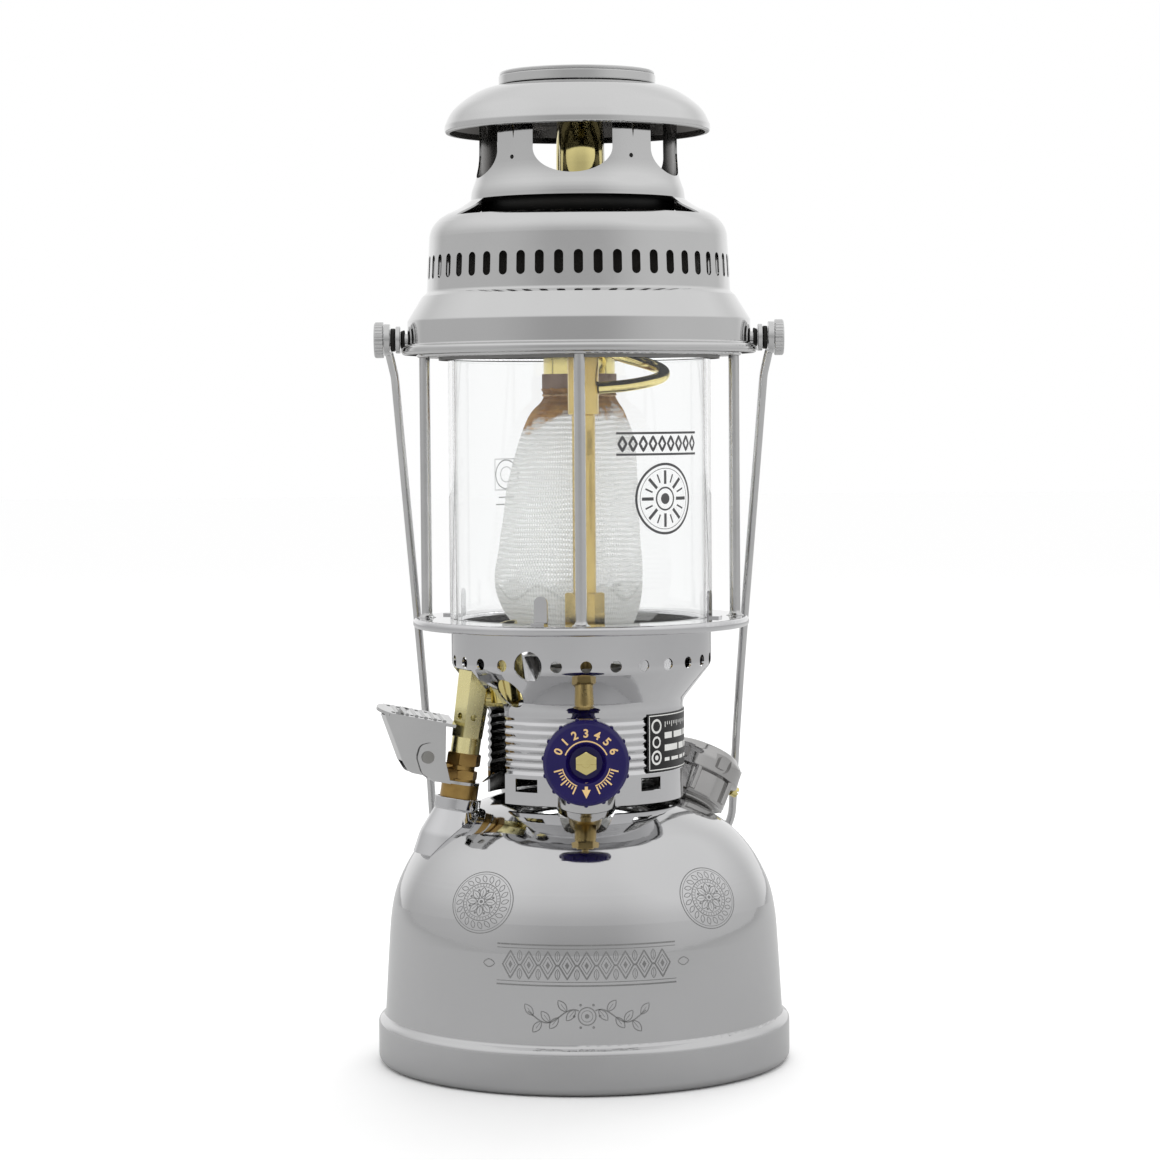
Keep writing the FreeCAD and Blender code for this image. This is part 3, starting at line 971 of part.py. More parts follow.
def make_filler():
    low = FILLER_CAP_LOW
    top = low + FILLER_CAP_HEIGHT
    seat_z = FILLER_NECK_TOP + GASKET_HEIGHT
    neck_room = FILLER_NECK_R + 1.2 + 0.1
    step_z = low + FILLER_STEP
    cap = turned([(neck_room, low), (FILLER_SKIRT_R - 0.6, low, 0.6), (FILLER_SKIRT_R, low + 1.2, 0.8),
                  (FILLER_SKIRT_R, step_z), (FILLER_CAP_R, step_z + 0.8, 0.6), (FILLER_CAP_R, top - 4.6, 4.4),
                  (FILLER_CAP_R - 4.2, top, 2.5), (11.6, top, 0.6), (11.6, top - 2.6), (9.8, top - 2.6),
                  (9.8, seat_z), (neck_room, seat_z)])
    pitch = 360 / FILLER_GRIP_COUNT
    grips = [spun(filler_grip(step_z, top), k * pitch - 40) for k in range(FILLER_GRIP_COUNT)]
    tongues = [spun(filler_tongue(step_z), k * pitch - 40) for k in range(FILLER_GRIP_COUNT)]
    bar = Part.makeCylinder(1.5, FILLER_STEP + 3.5, V(FILLER_CAP_R - 1.6, 0, low + 1.5))
    bars = [spun(bar, (k + 0.5) * pitch - 40) for k in range(FILLER_GRIP_COUNT)]
    cap = joined([without(cap, grips)] + tongues + bars)
    screw_seat = Part.makeCylinder(BLEED_R + RUNNING, 9.0, V(12.6, 0, BLEED_Z), V(1, 0, 0))
    add("filler_cap", on_filler(cap.cut(spun(screw_seat, BLEED_AZIMUTH))))

    add("filler_gasket", on_filler(turned([(FILLER_NECK_R - 2.0, FILLER_NECK_TOP),
                                           (FILLER_NECK_R + 1.1, FILLER_NECK_TOP),
                                           (FILLER_NECK_R + 1.1, seat_z), (FILLER_NECK_R - 2.0, seat_z)])))
    dial_z = top - 4.4
    add("gauge_dial", on_filler(rod(9.7, dial_z - 3.0, dial_z)))
    add("gauge_glass", on_filler(rod(11.5, top - 2.6, top - 1.2)))
    pin = rod(0.5, dial_z, dial_z + 0.4)
    hand = prism([(-2.2, -0.5), (-2.2, 0.5), (7.6, 0.12), (7.6, -0.12)], dial_z + 0.4, dial_z + 0.8)
    add("gauge_pointer", on_filler(spun(joined([moved(pin, V(0, 0, 0.1)), hand]), -215)))

    screw = joined([Part.makeCylinder(BLEED_R, 7.0, V(13.2, 0, BLEED_Z), V(1, 0, 0)),
                    Part.makeCylinder(2.3, 2.6, V(FILLER_CAP_R + 0.2, 0, BLEED_Z), V(1, 0, 0))])
    screw = screw.cut(box((FILLER_CAP_R + 2.0, -3, BLEED_Z - 0.4), (FILLER_CAP_R + 4, 3, BLEED_Z + 0.4)))
    add("bleed_screw", on_filler(spun(screw, BLEED_AZIMUTH)))


# ---- pump ---------------------------------------------------------------------------------------------

def make_pump():
    inner = PUMP_BARREL_R - PUMP_WALL
    top = PUMP_BARREL_TOP
    low = top - PUMP_BARREL_DEPTH
    add("pump_barrel", on_pump(rod(PUMP_BARREL_R, low, top, inner)))
    valve = joined([rod(PUMP_BARREL_R, low - 2.0, low), rod(5.0, low - 7.0, low - 1.0)])
    add("pump_valve", on_pump(valve.cut(rod(0.8, low - 8, low + 1))))

    bore = PUMP_ROD_R + RUNNING
    skirt_r = PUMP_BARREL_R + 2.35
    cap_r = PUMP_BARREL_R + 3.6
    cap = turned([(bore, top + 4.0), (bore, top + 7.0), (PUMP_BARREL_R, top + 7.0, 1.5),
                  (cap_r, top + 5.0, 1.0), (cap_r, top - 3.0, 0.5), (skirt_r, top - 3.0),
                  (skirt_r, top + 0.1), (inner, top + 0.1), (inner, top + 4.0)])
    groove = Part.makeCylinder(0.7, 20, V(cap_r + 0.3, 0, top - 4))
    add("pump_cap", on_pump(without(cap, [spun(groove, k * 15) for k in range(24)])))

    piston_z = low + 1.0
    knob_z = top + 7.4
    add("pump_rod", on_pump(rod(PUMP_ROD_R, piston_z + 1.0, knob_z + 4.0)))
    knob = turned([(0, knob_z + 4.0), (PUMP_ROD_R, knob_z + 4.0), (PUMP_ROD_R, knob_z), (8.6, knob_z, 1.0),
                   (9.8, knob_z + 3.2, 1.5), (9.8, knob_z + 8.0, 2.6), (7.0, knob_z + 10.5, 2.0),
                   (0, knob_z + 11.0)])
    add("pump_knob", on_pump(knob))
    lip_r = inner - RUNNING
    cup = turned([(0, piston_z + 1.0), (PUMP_ROD_R + 0.8, piston_z + 1.0), (lip_r - 0.9, piston_z + 1.0, 0.5),
                  (lip_r - 0.9, piston_z + 7.0), (lip_r, piston_z + 7.0), (lip_r, piston_z, 1.2),
                  (0, piston_z)])
    add("pump_leather", on_pump(cup))


# ---- bail and knobs -----------------------------------------------------------------------------------

def make_bail():
    """The bail hangs behind the tank, leaning until its end rests against the tank's back."""
    corner = 24.0
    start_z = EYE_R - 1.0
    right = [V(EYE_X - 0.6, 0, -start_z), V(BAIL_ARM_X, 0, -16.0), V(BAIL_ARM_X - 9.0, 0, 75.0 - BAIL_LENGTH),
             V(BAIL_END_X, 0, BAIL_DENT - BAIL_LENGTH), V(14.0, 0, BAIL_DENT - BAIL_LENGTH),
             V(7.0, 0, -BAIL_LENGTH)]
    left = [V(-place.x, 0, place.z) for place in reversed(right)]
    places = right + left
    wanted = [0, 20, SMOOTH, corner, 7, 7, 7, 7, corner, SMOOTH, 20, 0]
    wire_shape = swept(places, corner_radii(list(zip(places, wanted))), BAIL_WIRE_R)
    eye = rod(EYE_R, -EYE_WIDTH / 2, EYE_WIDTH / 2, STUD_R + RUNNING)
    eyes = [facing_side(eye, V(side * EYE_X, 0, 0), 1) for side in (1, -1)]
    bail = joined([wire_shape] + eyes)
    bail = bail.cut(facing_side(rod(STUD_R + RUNNING, -100, 100), ORIGIN, 1))
    rest_r = TANK_WALL_R - 3.7 + BAIL_WIRE_R + REST_GAP
    lean = degrees(asin(rest_r / BAIL_LENGTH))
    bail.rotate(ORIGIN, V(1, 0, 0), lean)
    bail.translate(V(0, 0, PIVOT_Z))
    add("bail", bail)

    inner_x = EYE_X + EYE_WIDTH / 2 + REST_GAP
    outer_x = STUD_END_X + 0.9
    bore = STUD_R + RUNNING
    knob = turned([(bore, inner_x), (KNOB_R, inner_x, 0.5), (KNOB_R, outer_x, 0.9), (0, outer_x),
                   (0, STUD_END_X + 0.1), (bore, STUD_END_X + 0.1)])
    knurl = Part.makeCylinder(0.45, 10, V(KNOB_R + 0.2, 0, inner_x - 3))
    knob = without(knob, [spun(knurl, k * 360 / KNOB_KNURLS) for k in range(KNOB_KNURLS)])
    add("knob_right", facing_side(knob, V(0, 0, PIVOT_Z), 1))
    add("knob_left", facing_side(knob, V(0, 0, PIVOT_Z), -1))


def main():
    make_tank()
    make_cage()
    make_glass()
    make_hood()
    make_burner()
    make_vaporizer()
    make_control()
    make_preheater()
    make_lever()
    make_filler()
    make_pump()
    make_bail()
    os.makedirs("parts", exist_ok=True)
    for name, shape in PARTS.items():
        if not shape.isValid():
            print("not valid:", name)
        shape.exportStep(os.path.join("parts", name + ".step"))
    print(len(PARTS), "nodes")


main()
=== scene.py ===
import bpy
from math import cos, exp, pi, radians, sin
from mathutils import Matrix, Vector, noise
from mathutils.bvhtree import BVHTree


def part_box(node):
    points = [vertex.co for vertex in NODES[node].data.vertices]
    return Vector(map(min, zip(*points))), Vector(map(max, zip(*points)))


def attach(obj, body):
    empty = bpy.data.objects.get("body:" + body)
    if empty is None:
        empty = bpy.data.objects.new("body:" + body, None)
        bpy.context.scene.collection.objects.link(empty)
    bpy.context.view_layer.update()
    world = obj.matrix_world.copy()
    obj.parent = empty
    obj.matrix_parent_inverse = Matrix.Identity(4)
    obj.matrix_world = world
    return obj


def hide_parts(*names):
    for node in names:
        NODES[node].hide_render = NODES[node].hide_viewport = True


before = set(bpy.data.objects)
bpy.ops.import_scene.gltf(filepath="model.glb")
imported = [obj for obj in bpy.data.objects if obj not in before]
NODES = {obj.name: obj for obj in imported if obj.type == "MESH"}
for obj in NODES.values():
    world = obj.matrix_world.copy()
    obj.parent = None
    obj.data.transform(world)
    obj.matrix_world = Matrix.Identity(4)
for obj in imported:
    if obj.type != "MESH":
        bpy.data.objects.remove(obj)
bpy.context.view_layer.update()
MM = 0.001
FRONT = -90.0                       # azimuth of the side with the control wheel, in degrees
GLASS_R = 53.5                      # sizes of the CAD pieces that the drawings and small parts lie on, in mm
TANK_R = 80.5
LABEL_R = 41.9
CHIMNEY_R = 40.4
PILLAR_CIRCLE_R = 63.0
RING_Z = 181.0
BURNER_Y = 6.0
WHEEL_X, WHEEL_Z = 1.5, 128.5       # centre of the control wheel
FILLER_R, FILLER_Z = 54.2, 97.1     # a point on the axis of the slanted filler neck
FILLER_AZIMUTH = 39.0               # degrees
FILLER_TILT = 29.0                  # degrees from upright
scene = bpy.context.scene


# ---- shader building ----------------------------------------------------------------------------------

class Nodes:
    """Short calls that build one node tree."""

    def __init__(self, tree):
        self.tree = tree
        tree.nodes.clear()

    def put(self, node, key, value):
        socket = node.inputs[key]
        if isinstance(value, bpy.types.NodeSocket):
            self.tree.links.new(value, socket)
        else:
            socket.default_value = value

    def node(self, kind, inputs=None, **props):
        made = self.tree.nodes.new(kind)
        for key, value in props.items():
            setattr(made, key, value)
        for key, value in (inputs or {}).items():
            self.put(made, key, value)
        return made

    def span(self, value, low, high, to_low=0.0, to_high=1.0, kind="LINEAR"):
        inputs = {"Value": value, "From Min": low, "From Max": high, "To Min": to_low, "To Max": to_high}
        return self.node("ShaderNodeMapRange", inputs, interpolation_type=kind).outputs[0]

    def maths(self, operation, a, b=0.0):
        return self.node("ShaderNodeMath", {0: a, 1: b}, operation=operation).outputs[0]

    def vector(self, operation, a, b=(0.0, 0.0, 0.0), output="Vector"):
        return self.node("ShaderNodeVectorMath", {0: a, 1: b}, operation=operation).outputs[output]

    def mix(self, factor, a, b):
        return self.node("ShaderNodeMix", {0: factor, 6: a, 7: b}, data_type="RGBA").outputs[2]

    def blend(self, factor, a, b):
        return self.node("ShaderNodeMixShader", {0: factor, 1: a, 2: b}).outputs[0]

    def parts(self, vector):
        return self.node("ShaderNodeSeparateXYZ", {0: vector}).outputs[:3]

    def mirror_ray(self):
        """1 on rays that come off a mirror, 0 on those to the eye, through glass or off matt surfaces."""
        path = self.node("ShaderNodeLightPath")
        not_through_glass = self.maths("SUBTRACT", 1.0, path.outputs["Is Transmission Ray"])
        return self.maths("MULTIPLY", path.outputs["Is Glossy Ray"], not_through_glass)


class Shader(Nodes):
    """A material with one Principled shader and the procedural detail behind it."""

    def __init__(self, name, **sockets):
        self.mat = bpy.data.materials.new(name)
        self.mat.use_nodes = True
        super().__init__(self.mat.node_tree)
        self.out = self.node("ShaderNodeOutputMaterial")
        self.bsdf = self.node("ShaderNodeBsdfPrincipled")
        self.coord = self.node("ShaderNodeTexCoord").outputs["Object"]
        self.surface(self.bsdf.outputs[0])
        self.base(**sockets)

    def surface(self, shader):
        self.put(self.out, "Surface", shader)

    def base(self, **sockets):
        for key, value in sockets.items():
            self.put(self.bsdf, key.replace("_", " "), value)

    def stretched(self, x, y, z):
        return self.node("ShaderNodeMapping", {"Vector": self.coord, "Scale": (x, y, z)}).outputs[0]

    def noise(self, scale, detail=3.0, rough=0.5, vector=None):
        inputs = {"Vector": vector or self.coord, "Scale": scale, "Detail": detail, "Roughness": rough}
        return self.node("ShaderNodeTexNoise", inputs).outputs[0]

    def voronoi(self, scale):
        return self.node("ShaderNodeTexVoronoi", {"Vector": self.coord, "Scale": scale}).outputs["Distance"]

    def bump(self, height, strength, distance, under=None):
        made = self.node("ShaderNodeBump", {"Height": height, "Strength": strength, "Distance": distance})
        if under is not None:
            self.put(made, "Normal", under)
        return made.outputs[0]


def rgb(*c):
    return (c[0], c[1], c[2], 1.0)


# Mask of the painted shade that metal() lays on inner and downward faces.
def inner_side(s):
    """1 on the faces of a round sheet that look to its axis or down, 0 on its outside."""
    outwards = s.vector("NORMALIZE", s.vector("MULTIPLY", s.coord, (1.0, 1.0, 0.0)))
    aim = s.vector("ADD", outwards, (0.0, 0.0, 1.0))
    normal = s.node("ShaderNodeTexCoord").outputs["Normal"]
    return s.span(s.vector("DOT_PRODUCT", aim, normal, "Value"), -0.3, -0.7)


def metal(name, colour, stain, rough, smudge=0.06, scratches=0.25, patch=14.0, grain=0.0, painted_shade=None,
          painted_shade_above=None):
    """Plated or solid metal: cloudy colour, smudges in the gloss, hair scratches and a faint orange peel.

    The last two arguments give painted shade: a darker colour laid on the inner side of a round sheet, and
    on all of it above one height in metres.
    """
    s = Shader(name, Metallic=1.0)
    cloud = s.noise(patch, 4.0, 0.55)
    fine = s.noise(420.0, 3.0, 0.6)
    tone = s.mix(s.span(cloud, 0.35, 0.75), rgb(*colour), rgb(*stain))
    # Painted shade: inner and downward faces, and all faces above one height if given, turn darker and a
    # little rougher.
    if painted_shade:
        inner = inner_side(s)
        if painted_shade_above:
            inner = s.maths("MAXIMUM", inner, s.span(s.parts(s.coord)[2], painted_shade_above, painted_shade_above + 0.002))
        tone = s.mix(inner, tone, rgb(*painted_shade))
    s.base(Base_Color=tone)
    hair_a = s.noise(1.0, 2.0, 0.5, s.stretched(2600.0, 2600.0, 70.0))
    hair_b = s.noise(1.0, 2.0, 0.5, s.stretched(60.0, 1900.0, 1900.0))
    hair = s.maths("MULTIPLY", s.span(hair_a, 0.62, 0.78), scratches)
    hair = s.maths("ADD", hair, s.maths("MULTIPLY", s.span(hair_b, 0.66, 0.8), scratches * 0.6))
    gloss = s.maths("ADD", rough, s.maths("MULTIPLY", s.span(cloud, 0.3, 0.8), smudge))
    gloss = s.maths("ADD", gloss, s.maths("MULTIPLY", hair, 0.12))
    if grain:
        gloss = s.maths("ADD", gloss, s.maths("MULTIPLY", fine, grain))
    if painted_shade:
        gloss = s.maths("ADD", gloss, s.maths("MULTIPLY", inner, 0.15))
    s.base(Roughness=gloss)
    peel = s.bump(s.noise(150.0, 2.0, 0.4), 0.05, 0.0004)
    s.base(Normal=s.bump(hair, 0.12, 0.00004, peel))
    return s.mat


def paint(name, colour, worn, rough, specular=0.5, speckle=900.0, patch=60.0):
    """Enamel or moulded plastic: faint colour shift, fine texture and uneven gloss."""
    s = Shader(name, Specular_IOR_Level=specular)
    cloud = s.noise(patch, 4.0, 0.6)
    grit = s.noise(speckle, 2.0, 0.5)
    s.base(Base_Color=s.mix(s.span(cloud, 0.3, 0.8), rgb(*colour), rgb(*worn)))
    s.base(Roughness=s.maths("ADD", rough, s.maths("MULTIPLY", cloud, 0.14)))
    s.base(Normal=s.bump(grit, 0.12, 0.0001))
    return s.mat


METALS = {
    # name, colour, stain, roughness, smudge, scratches, patch, grain, painted shade colour, painted shade
    # above
    "tank": ("nickel_tank", (0.57, 0.57, 0.575), (0.53, 0.53, 0.535), 0.05, 0.04, 0.10, 9.0),
    # hood, cage and casing end with a painted shade colour for their inner sides; the casing's also covers
    # all of it above 0.290 m
    "hood": ("nickel_hood", (0.62, 0.62, 0.62), (0.58, 0.58, 0.58), 0.05, 0.04, 0.10, 11.0, 0.01,
             (0.11, 0.105, 0.10)),
    "chrome": ("chrome_bright", (0.64, 0.64, 0.65), (0.57, 0.57, 0.58), 0.035, 0.04, 0.25, 16.0),
    "cage": ("chrome_cage", (0.64, 0.64, 0.65), (0.57, 0.57, 0.58), 0.035, 0.04, 0.25, 16.0, 0.0,
             (0.10, 0.098, 0.095)),
    "wire": ("steel_wire", (0.62, 0.62, 0.62), (0.55, 0.55, 0.55), 0.14, 0.06, 0.25, 40.0, 0.03),
    "satin": ("nickel_satin", (0.60, 0.60, 0.60), (0.54, 0.54, 0.54), 0.09, 0.05, 0.2, 30.0, 0.01),
    "nickel_dull": ("nickel_dull", (0.46, 0.455, 0.45), (0.36, 0.355, 0.35), 0.09, 0.05, 0.2, 30.0, 0.01),
    "steel": ("steel_plain", (0.40, 0.40, 0.39), (0.30, 0.29, 0.27), 0.30, 0.12, 0.4, 30.0, 0.1),
    "casing": ("steel_casing", (0.36, 0.355, 0.35), (0.24, 0.235, 0.23), 0.30, 0.15, 0.3, 22.0, 0.1,
               (0.055, 0.052, 0.048), 0.290),
    # Near-black painted shade: the ring behind the hood slot and the stud washers and spacers; the chimney
    # rivets use it too.
    "shade_dark": ("painted_shade_black", (0.03, 0.03, 0.03), (0.05, 0.048, 0.045), 0.45, 0.10, 0.3, 30.0, 0.1),
    "brass": ("brass_bright", (0.78, 0.68, 0.30), (0.64, 0.53, 0.21), 0.09, 0.06, 0.3, 45.0, 0.04),
    "brass_aged": ("brass_aged", (0.60, 0.46, 0.17), (0.46, 0.33, 0.11), 0.12, 0.08, 0.3, 45.0, 0.04),
    "torch": ("brass_torch", (1.0, 0.92, 0.50), (0.92, 0.82, 0.40), 0.22, 0.06, 0.3, 45.0, 0.04),
    "brass_dark": ("brass_browned", (0.46, 0.30, 0.10), (0.26, 0.15, 0.05), 0.22, 0.15, 0.3, 90.0, 0.1),
    "brass_plain": ("brass_plain", (0.60, 0.46, 0.20), (0.46, 0.33, 0.13), 0.20, 0.12, 0.3, 60.0, 0.08),
}
PAINTS = {
    # name, colour, worn colour, roughness, specular level, speckle, patch
    "wheel": ("wheel_plastic", (0.006, 0.003, 0.060), (0.010, 0.005, 0.078), 0.16, 0.3, 700.0, 70.0),
    "label": ("label_enamel", (0.008, 0.008, 0.008), (0.014, 0.014, 0.015), 0.3, 0.3),
    "label_print": ("label_print", (0.72, 0.72, 0.70), (0.62, 0.62, 0.60), 0.35),
    "gold_print": ("gold_print", (0.72, 0.50, 0.22), (0.60, 0.38, 0.16), 0.35),
    "dial": ("dial_enamel", (0.72, 0.72, 0.69), (0.64, 0.63, 0.58), 0.3),
    "black": ("black_paint", (0.015, 0.015, 0.015), (0.03, 0.03, 0.03), 0.4),
    "rubber": ("gasket_rubber", (0.02, 0.02, 0.02), (0.04, 0.038, 0.035), 0.6),
    "glass_print": ("glass_print", (0.05, 0.05, 0.055), (0.09, 0.09, 0.09), 0.45),
    "glass_print_pale": ("glass_print_pale", (0.42, 0.42, 0.43), (0.5, 0.5, 0.5), 0.5),
    "red": ("red_print", (0.45, 0.02, 0.02), (0.35, 0.03, 0.03), 0.35),
    "thread": ("cotton_thread", (0.42, 0.24, 0.09), (0.60, 0.45, 0.28), 0.8, 0.5, 3000.0, 300.0),
    "etched": ("etched_nickel", (0.13, 0.13, 0.13), (0.20, 0.20, 0.20), 0.5),
}
M = {look: metal(*values) for look, values in METALS.items()}
M.update({look: paint(*values) for look, values in PAINTS.items()})


def leather():
    s = Shader("oiled_leather")
    pores = s.voronoi(1500.0)
    cloud = s.noise(200.0, 4.0, 0.6)
    s.base(Base_Color=s.mix(s.span(cloud, 0.3, 0.7), rgb(0.16, 0.08, 0.035), rgb(0.26, 0.14, 0.06)))
    s.base(Roughness=s.span(pores, 0.0, 0.6, 0.55, 0.4), Normal=s.bump(pores, 0.4, 0.0002))
    return s.mat


def ceramic():
    s = Shader("fired_clay")
    cloud = s.noise(120.0, 5.0, 0.65)
    pits = s.voronoi(1100.0)
    s.base(Base_Color=s.mix(s.span(cloud, 0.3, 0.75), rgb(0.30, 0.21, 0.16), rgb(0.17, 0.10, 0.065)))
    s.base(Roughness=s.span(pits, 0.0, 0.5, 0.9, 0.75), Normal=s.bump(pits, 0.5, 0.0002))
    return s.mat


def clear_glass(name, tint, waves=0.06):
    """Clear glass with a faint drawing waviness. Lamps shine through it."""
    s = Shader(name, Transmission_Weight=1.0, IOR=1.47, Base_Color=rgb(*tint))
    film = s.noise(35.0, 3.0, 0.5)
    s.base(Roughness=s.span(film, 0.45, 0.8, 0.0, 0.012))
    wave = s.noise(1.0, 2.0, 0.5, s.stretched(70.0, 70.0, 12.0))
    s.base(Normal=s.bump(wave, waves, 0.0006))
    path = s.node("ShaderNodeLightPath")
    clear = s.node("ShaderNodeBsdfTransparent", {"Color": rgb(0.96, 0.97, 0.97)})
    lamp = s.maths("MAXIMUM", path.outputs["Is Shadow Ray"], path.outputs["Is Diffuse Ray"])
    s.surface(s.blend(lamp, s.bsdf.outputs[0], clear.outputs[0]))
    return s.mat


M["leather"] = leather()
M["ceramic"] = ceramic()
M["glass"] = clear_glass("clear_glass", (0.985, 0.99, 0.99))
M["gauge_glass"] = clear_glass("gauge_glass", (0.98, 0.98, 0.98), 0.02)

LOOK = {
    "tank": ["fuel_tank", "tank_bottom"],
    "cage": ["cage_base"],
    "chrome": ["preheater_boss", "glass_tabs", "cage_ring"],
    "hood": ["hood", "chimney_collar", "hood_cap", "cap_disc", "cage_top_ring"],
    "wire": ["bail", "cage_pillars", "pivot_studs", "knob_left", "knob_right"],
    "nickel_dull": ["filler_neck", "filler_cap"],
    "satin": ["preheater_lever", "lever_bracket", "pump_boss", "pump_cap", "pump_knob", "vaporizer_boss"],
    "steel": ["lever_pin", "cleaning_rod", "pump_rod", "spirit_cup"],
    "casing": ["inner_casing", "burner_bridge"],
    "torch": ["torch_body"],
    "brass_aged": ["vaporizer_tube", "vaporizer_nut"],
    "brass": ["torch_elbow", "vaporizer_loop", "mixing_tube", "flame_tube", "handwheel_nut", "bleed_screw",
              "mixing_chamber"],
    "brass_dark": ["preheater_valve", "preheater_plunger"],
    "brass_plain": ["vaporizer_base", "packing_nut", "valve_spindle", "jet", "dip_tube", "pump_barrel",
                    "pump_valve"],
    "wheel": ["handwheel"],
    "label": ["label_plate"],
    "dial": ["gauge_dial"],
    "black": ["gauge_pointer"],
    "rubber": ["filler_gasket"],
    "leather": ["pump_leather"],
    "ceramic": ["ceramic_nozzle"],
    "glass": ["globe_glass"],
    "gauge_glass": ["gauge_glass"],
}
for look, names in LOOK.items():
    for name in names:
        mesh = NODES[name].data
        mesh.materials.clear()
        mesh.materials.append(M[look])


# ---- mesh building ------------------------------------------------------------------------------------

def piece(name, verts, faces, look, body):
    """A new mesh from points in millimetres in the row frame, riding on a CAD body."""
    mesh = bpy.data.meshes.new(name)
    mesh.from_pydata([Vector(v) * MM for v in verts], [], faces)
    mesh.validate()
    mesh.polygons.foreach_set("use_smooth", [True] * len(mesh.polygons))
    mesh.materials.append(M[look])
    made = bpy.data.objects.new(name, mesh)
    scene.collection.objects.link(made)
    if body:
        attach(made, body)
    return made


# ---- mantle -------------------------------------------------------------------------------------------

MANTLE = [  # height, left and right reach in x, in millimetres
    (274.2, 15.2, 15.2), (271.6, 14.2, 14.2), (268.6, 15.8, 15.6), (264.0, 20.2, 18.5), (254.0, 24.6, 21.9),
    (239.0, 29.0, 23.4), (229.0, 31.0, 24.0), (210.0, 33.6, 24.9), (198.0, 35.6, 25.5), (191.0, 35.0, 25.3),
    (185.0, 33.0, 24.2), (180.0, 29.5, 22.8), (176.0, 25.5, 20.6), (172.0, 20.0, 16.0), (169.0, 13.0, 10.0),
    (167.4, 6.0, 4.0), (167.0, 0.3, 0.0)]
MANTLE_TOP = 275.0
PLEATS = 15
PLEAT_DEPTH = 0.045                  # share of the radius, above PLEATS_Z
PLEATS_Z = 272.0                     # the pleats fade below this height
PLEAT_FADE = 5.0
DENT_FADE = 25.0                     # the dents fade towards the top over this height
COURSE_PITCH = 0.00205               # metres, one knitted row
SEAM_Z = 0.1915                      # metres, where the thicker bottom begins


def catmull(rows, t):
    """A smooth curve through rows of numbers, at row number t."""
    i = min(int(t), len(rows) - 2)
    f = t - i
    p = [rows[max(i - 1, 0)], rows[i], rows[i + 1], rows[min(i + 2, len(rows) - 1)]]
    out = []
    for a, b, c, d in zip(*p):
        square = 2 * a - 5 * b + 4 * c - d
        cube = 3 * b - a - 3 * c + d
        out.append(0.5 * (2 * b + (c - a) * f + square * f * f + cube * f ** 3))
    return out


def gauze():
    """White knitted gauze: rows of see-through meshes, thicker below a seam, ragged brown at the tie."""
    s = Shader("mantle_gauze", Sheen_Weight=0.15)
    x, y, z = s.parts(s.coord)

    def times(a, b):
        return s.maths("MULTIPLY", a, b)

    def plus(a, b):
        return s.maths("ADD", a, b)

    angle = s.maths("ARCTAN2", s.maths("SUBTRACT", y, BURNER_Y * MM), plus(x, 0.004))
    wobble = times(s.noise(60.0, 3.0, 0.5), 0.0030)
    rows = s.maths("SINE", times(plus(z, wobble), 2 * pi / COURSE_PITCH))
    columns = s.maths("SINE", plus(times(angle, 150.0), times(s.noise(60.0, 2.0, 0.5), 9.0)))
    patches = s.noise(75.0, 4.0, 0.6)
    fuzz = s.noise(1500.0, 3.0, 0.7)
    knit = plus(times(rows, s.span(patches, 0.3, 0.7, 0.22, 0.44)), times(columns, 0.30))
    height = plus(knit, times(fuzz, 0.7))

    seam_height = plus(z, times(s.maths("SINE", times(angle, 7.0)), 0.0030))
    seam = s.span(s.maths("ABSOLUTE", s.maths("SUBTRACT", seam_height, SEAM_Z)), 0.0003, 0.0011, 1.0, 0.0)
    thick = s.span(seam_height, SEAM_Z - 0.001, SEAM_Z + 0.001, 1.0, 0.0)
    tatters = times(s.span(s.noise(55.0, 5.0, 0.7), 0.3, 0.7, -1.0, 1.0), 0.0055)
    droop = times(x, s.maths("SUBTRACT", times(x, 10.3), 0.087))
    brown = s.span(plus(plus(z, tatters), droop), 0.2630, 0.2656)

    dark = s.mix(s.span(s.noise(180.0, 4.0, 0.65), 0.3, 0.7), rgb(0.36, 0.15, 0.025), rgb(0.66, 0.37, 0.10))
    white = s.mix(s.span(height, 0.05, 0.85), rgb(0.90, 0.90, 0.88), rgb(1.0, 1.0, 0.99))
    white = s.mix(times(thick, 0.35), white, rgb(0.95, 0.95, 0.92))
    white = s.mix(times(seam, 0.45), white, rgb(0.52, 0.52, 0.49))
    colour = s.mix(brown, white, dark)
    rough = s.bump(height, 0.5, 0.0004)
    s.base(Base_Color=colour, Roughness=0.85, Normal=rough)

    through = s.node("ShaderNodeBsdfTranslucent", {"Color": colour, "Normal": rough})
    cloth = s.blend(0.42, s.bsdf.outputs[0], through.outputs[0])
    holes = s.span(height, 0.0, 0.55, 0.88, 0.14)
    holes = times(holes, s.span(s.maths("MAXIMUM", brown, thick), 0.0, 1.0, 1.0, 0.30))
    s.surface(s.blend(holes, cloth, s.node("ShaderNodeBsdfTransparent").outputs[0]))
    return s.mat


M["gauze"] = gauze()


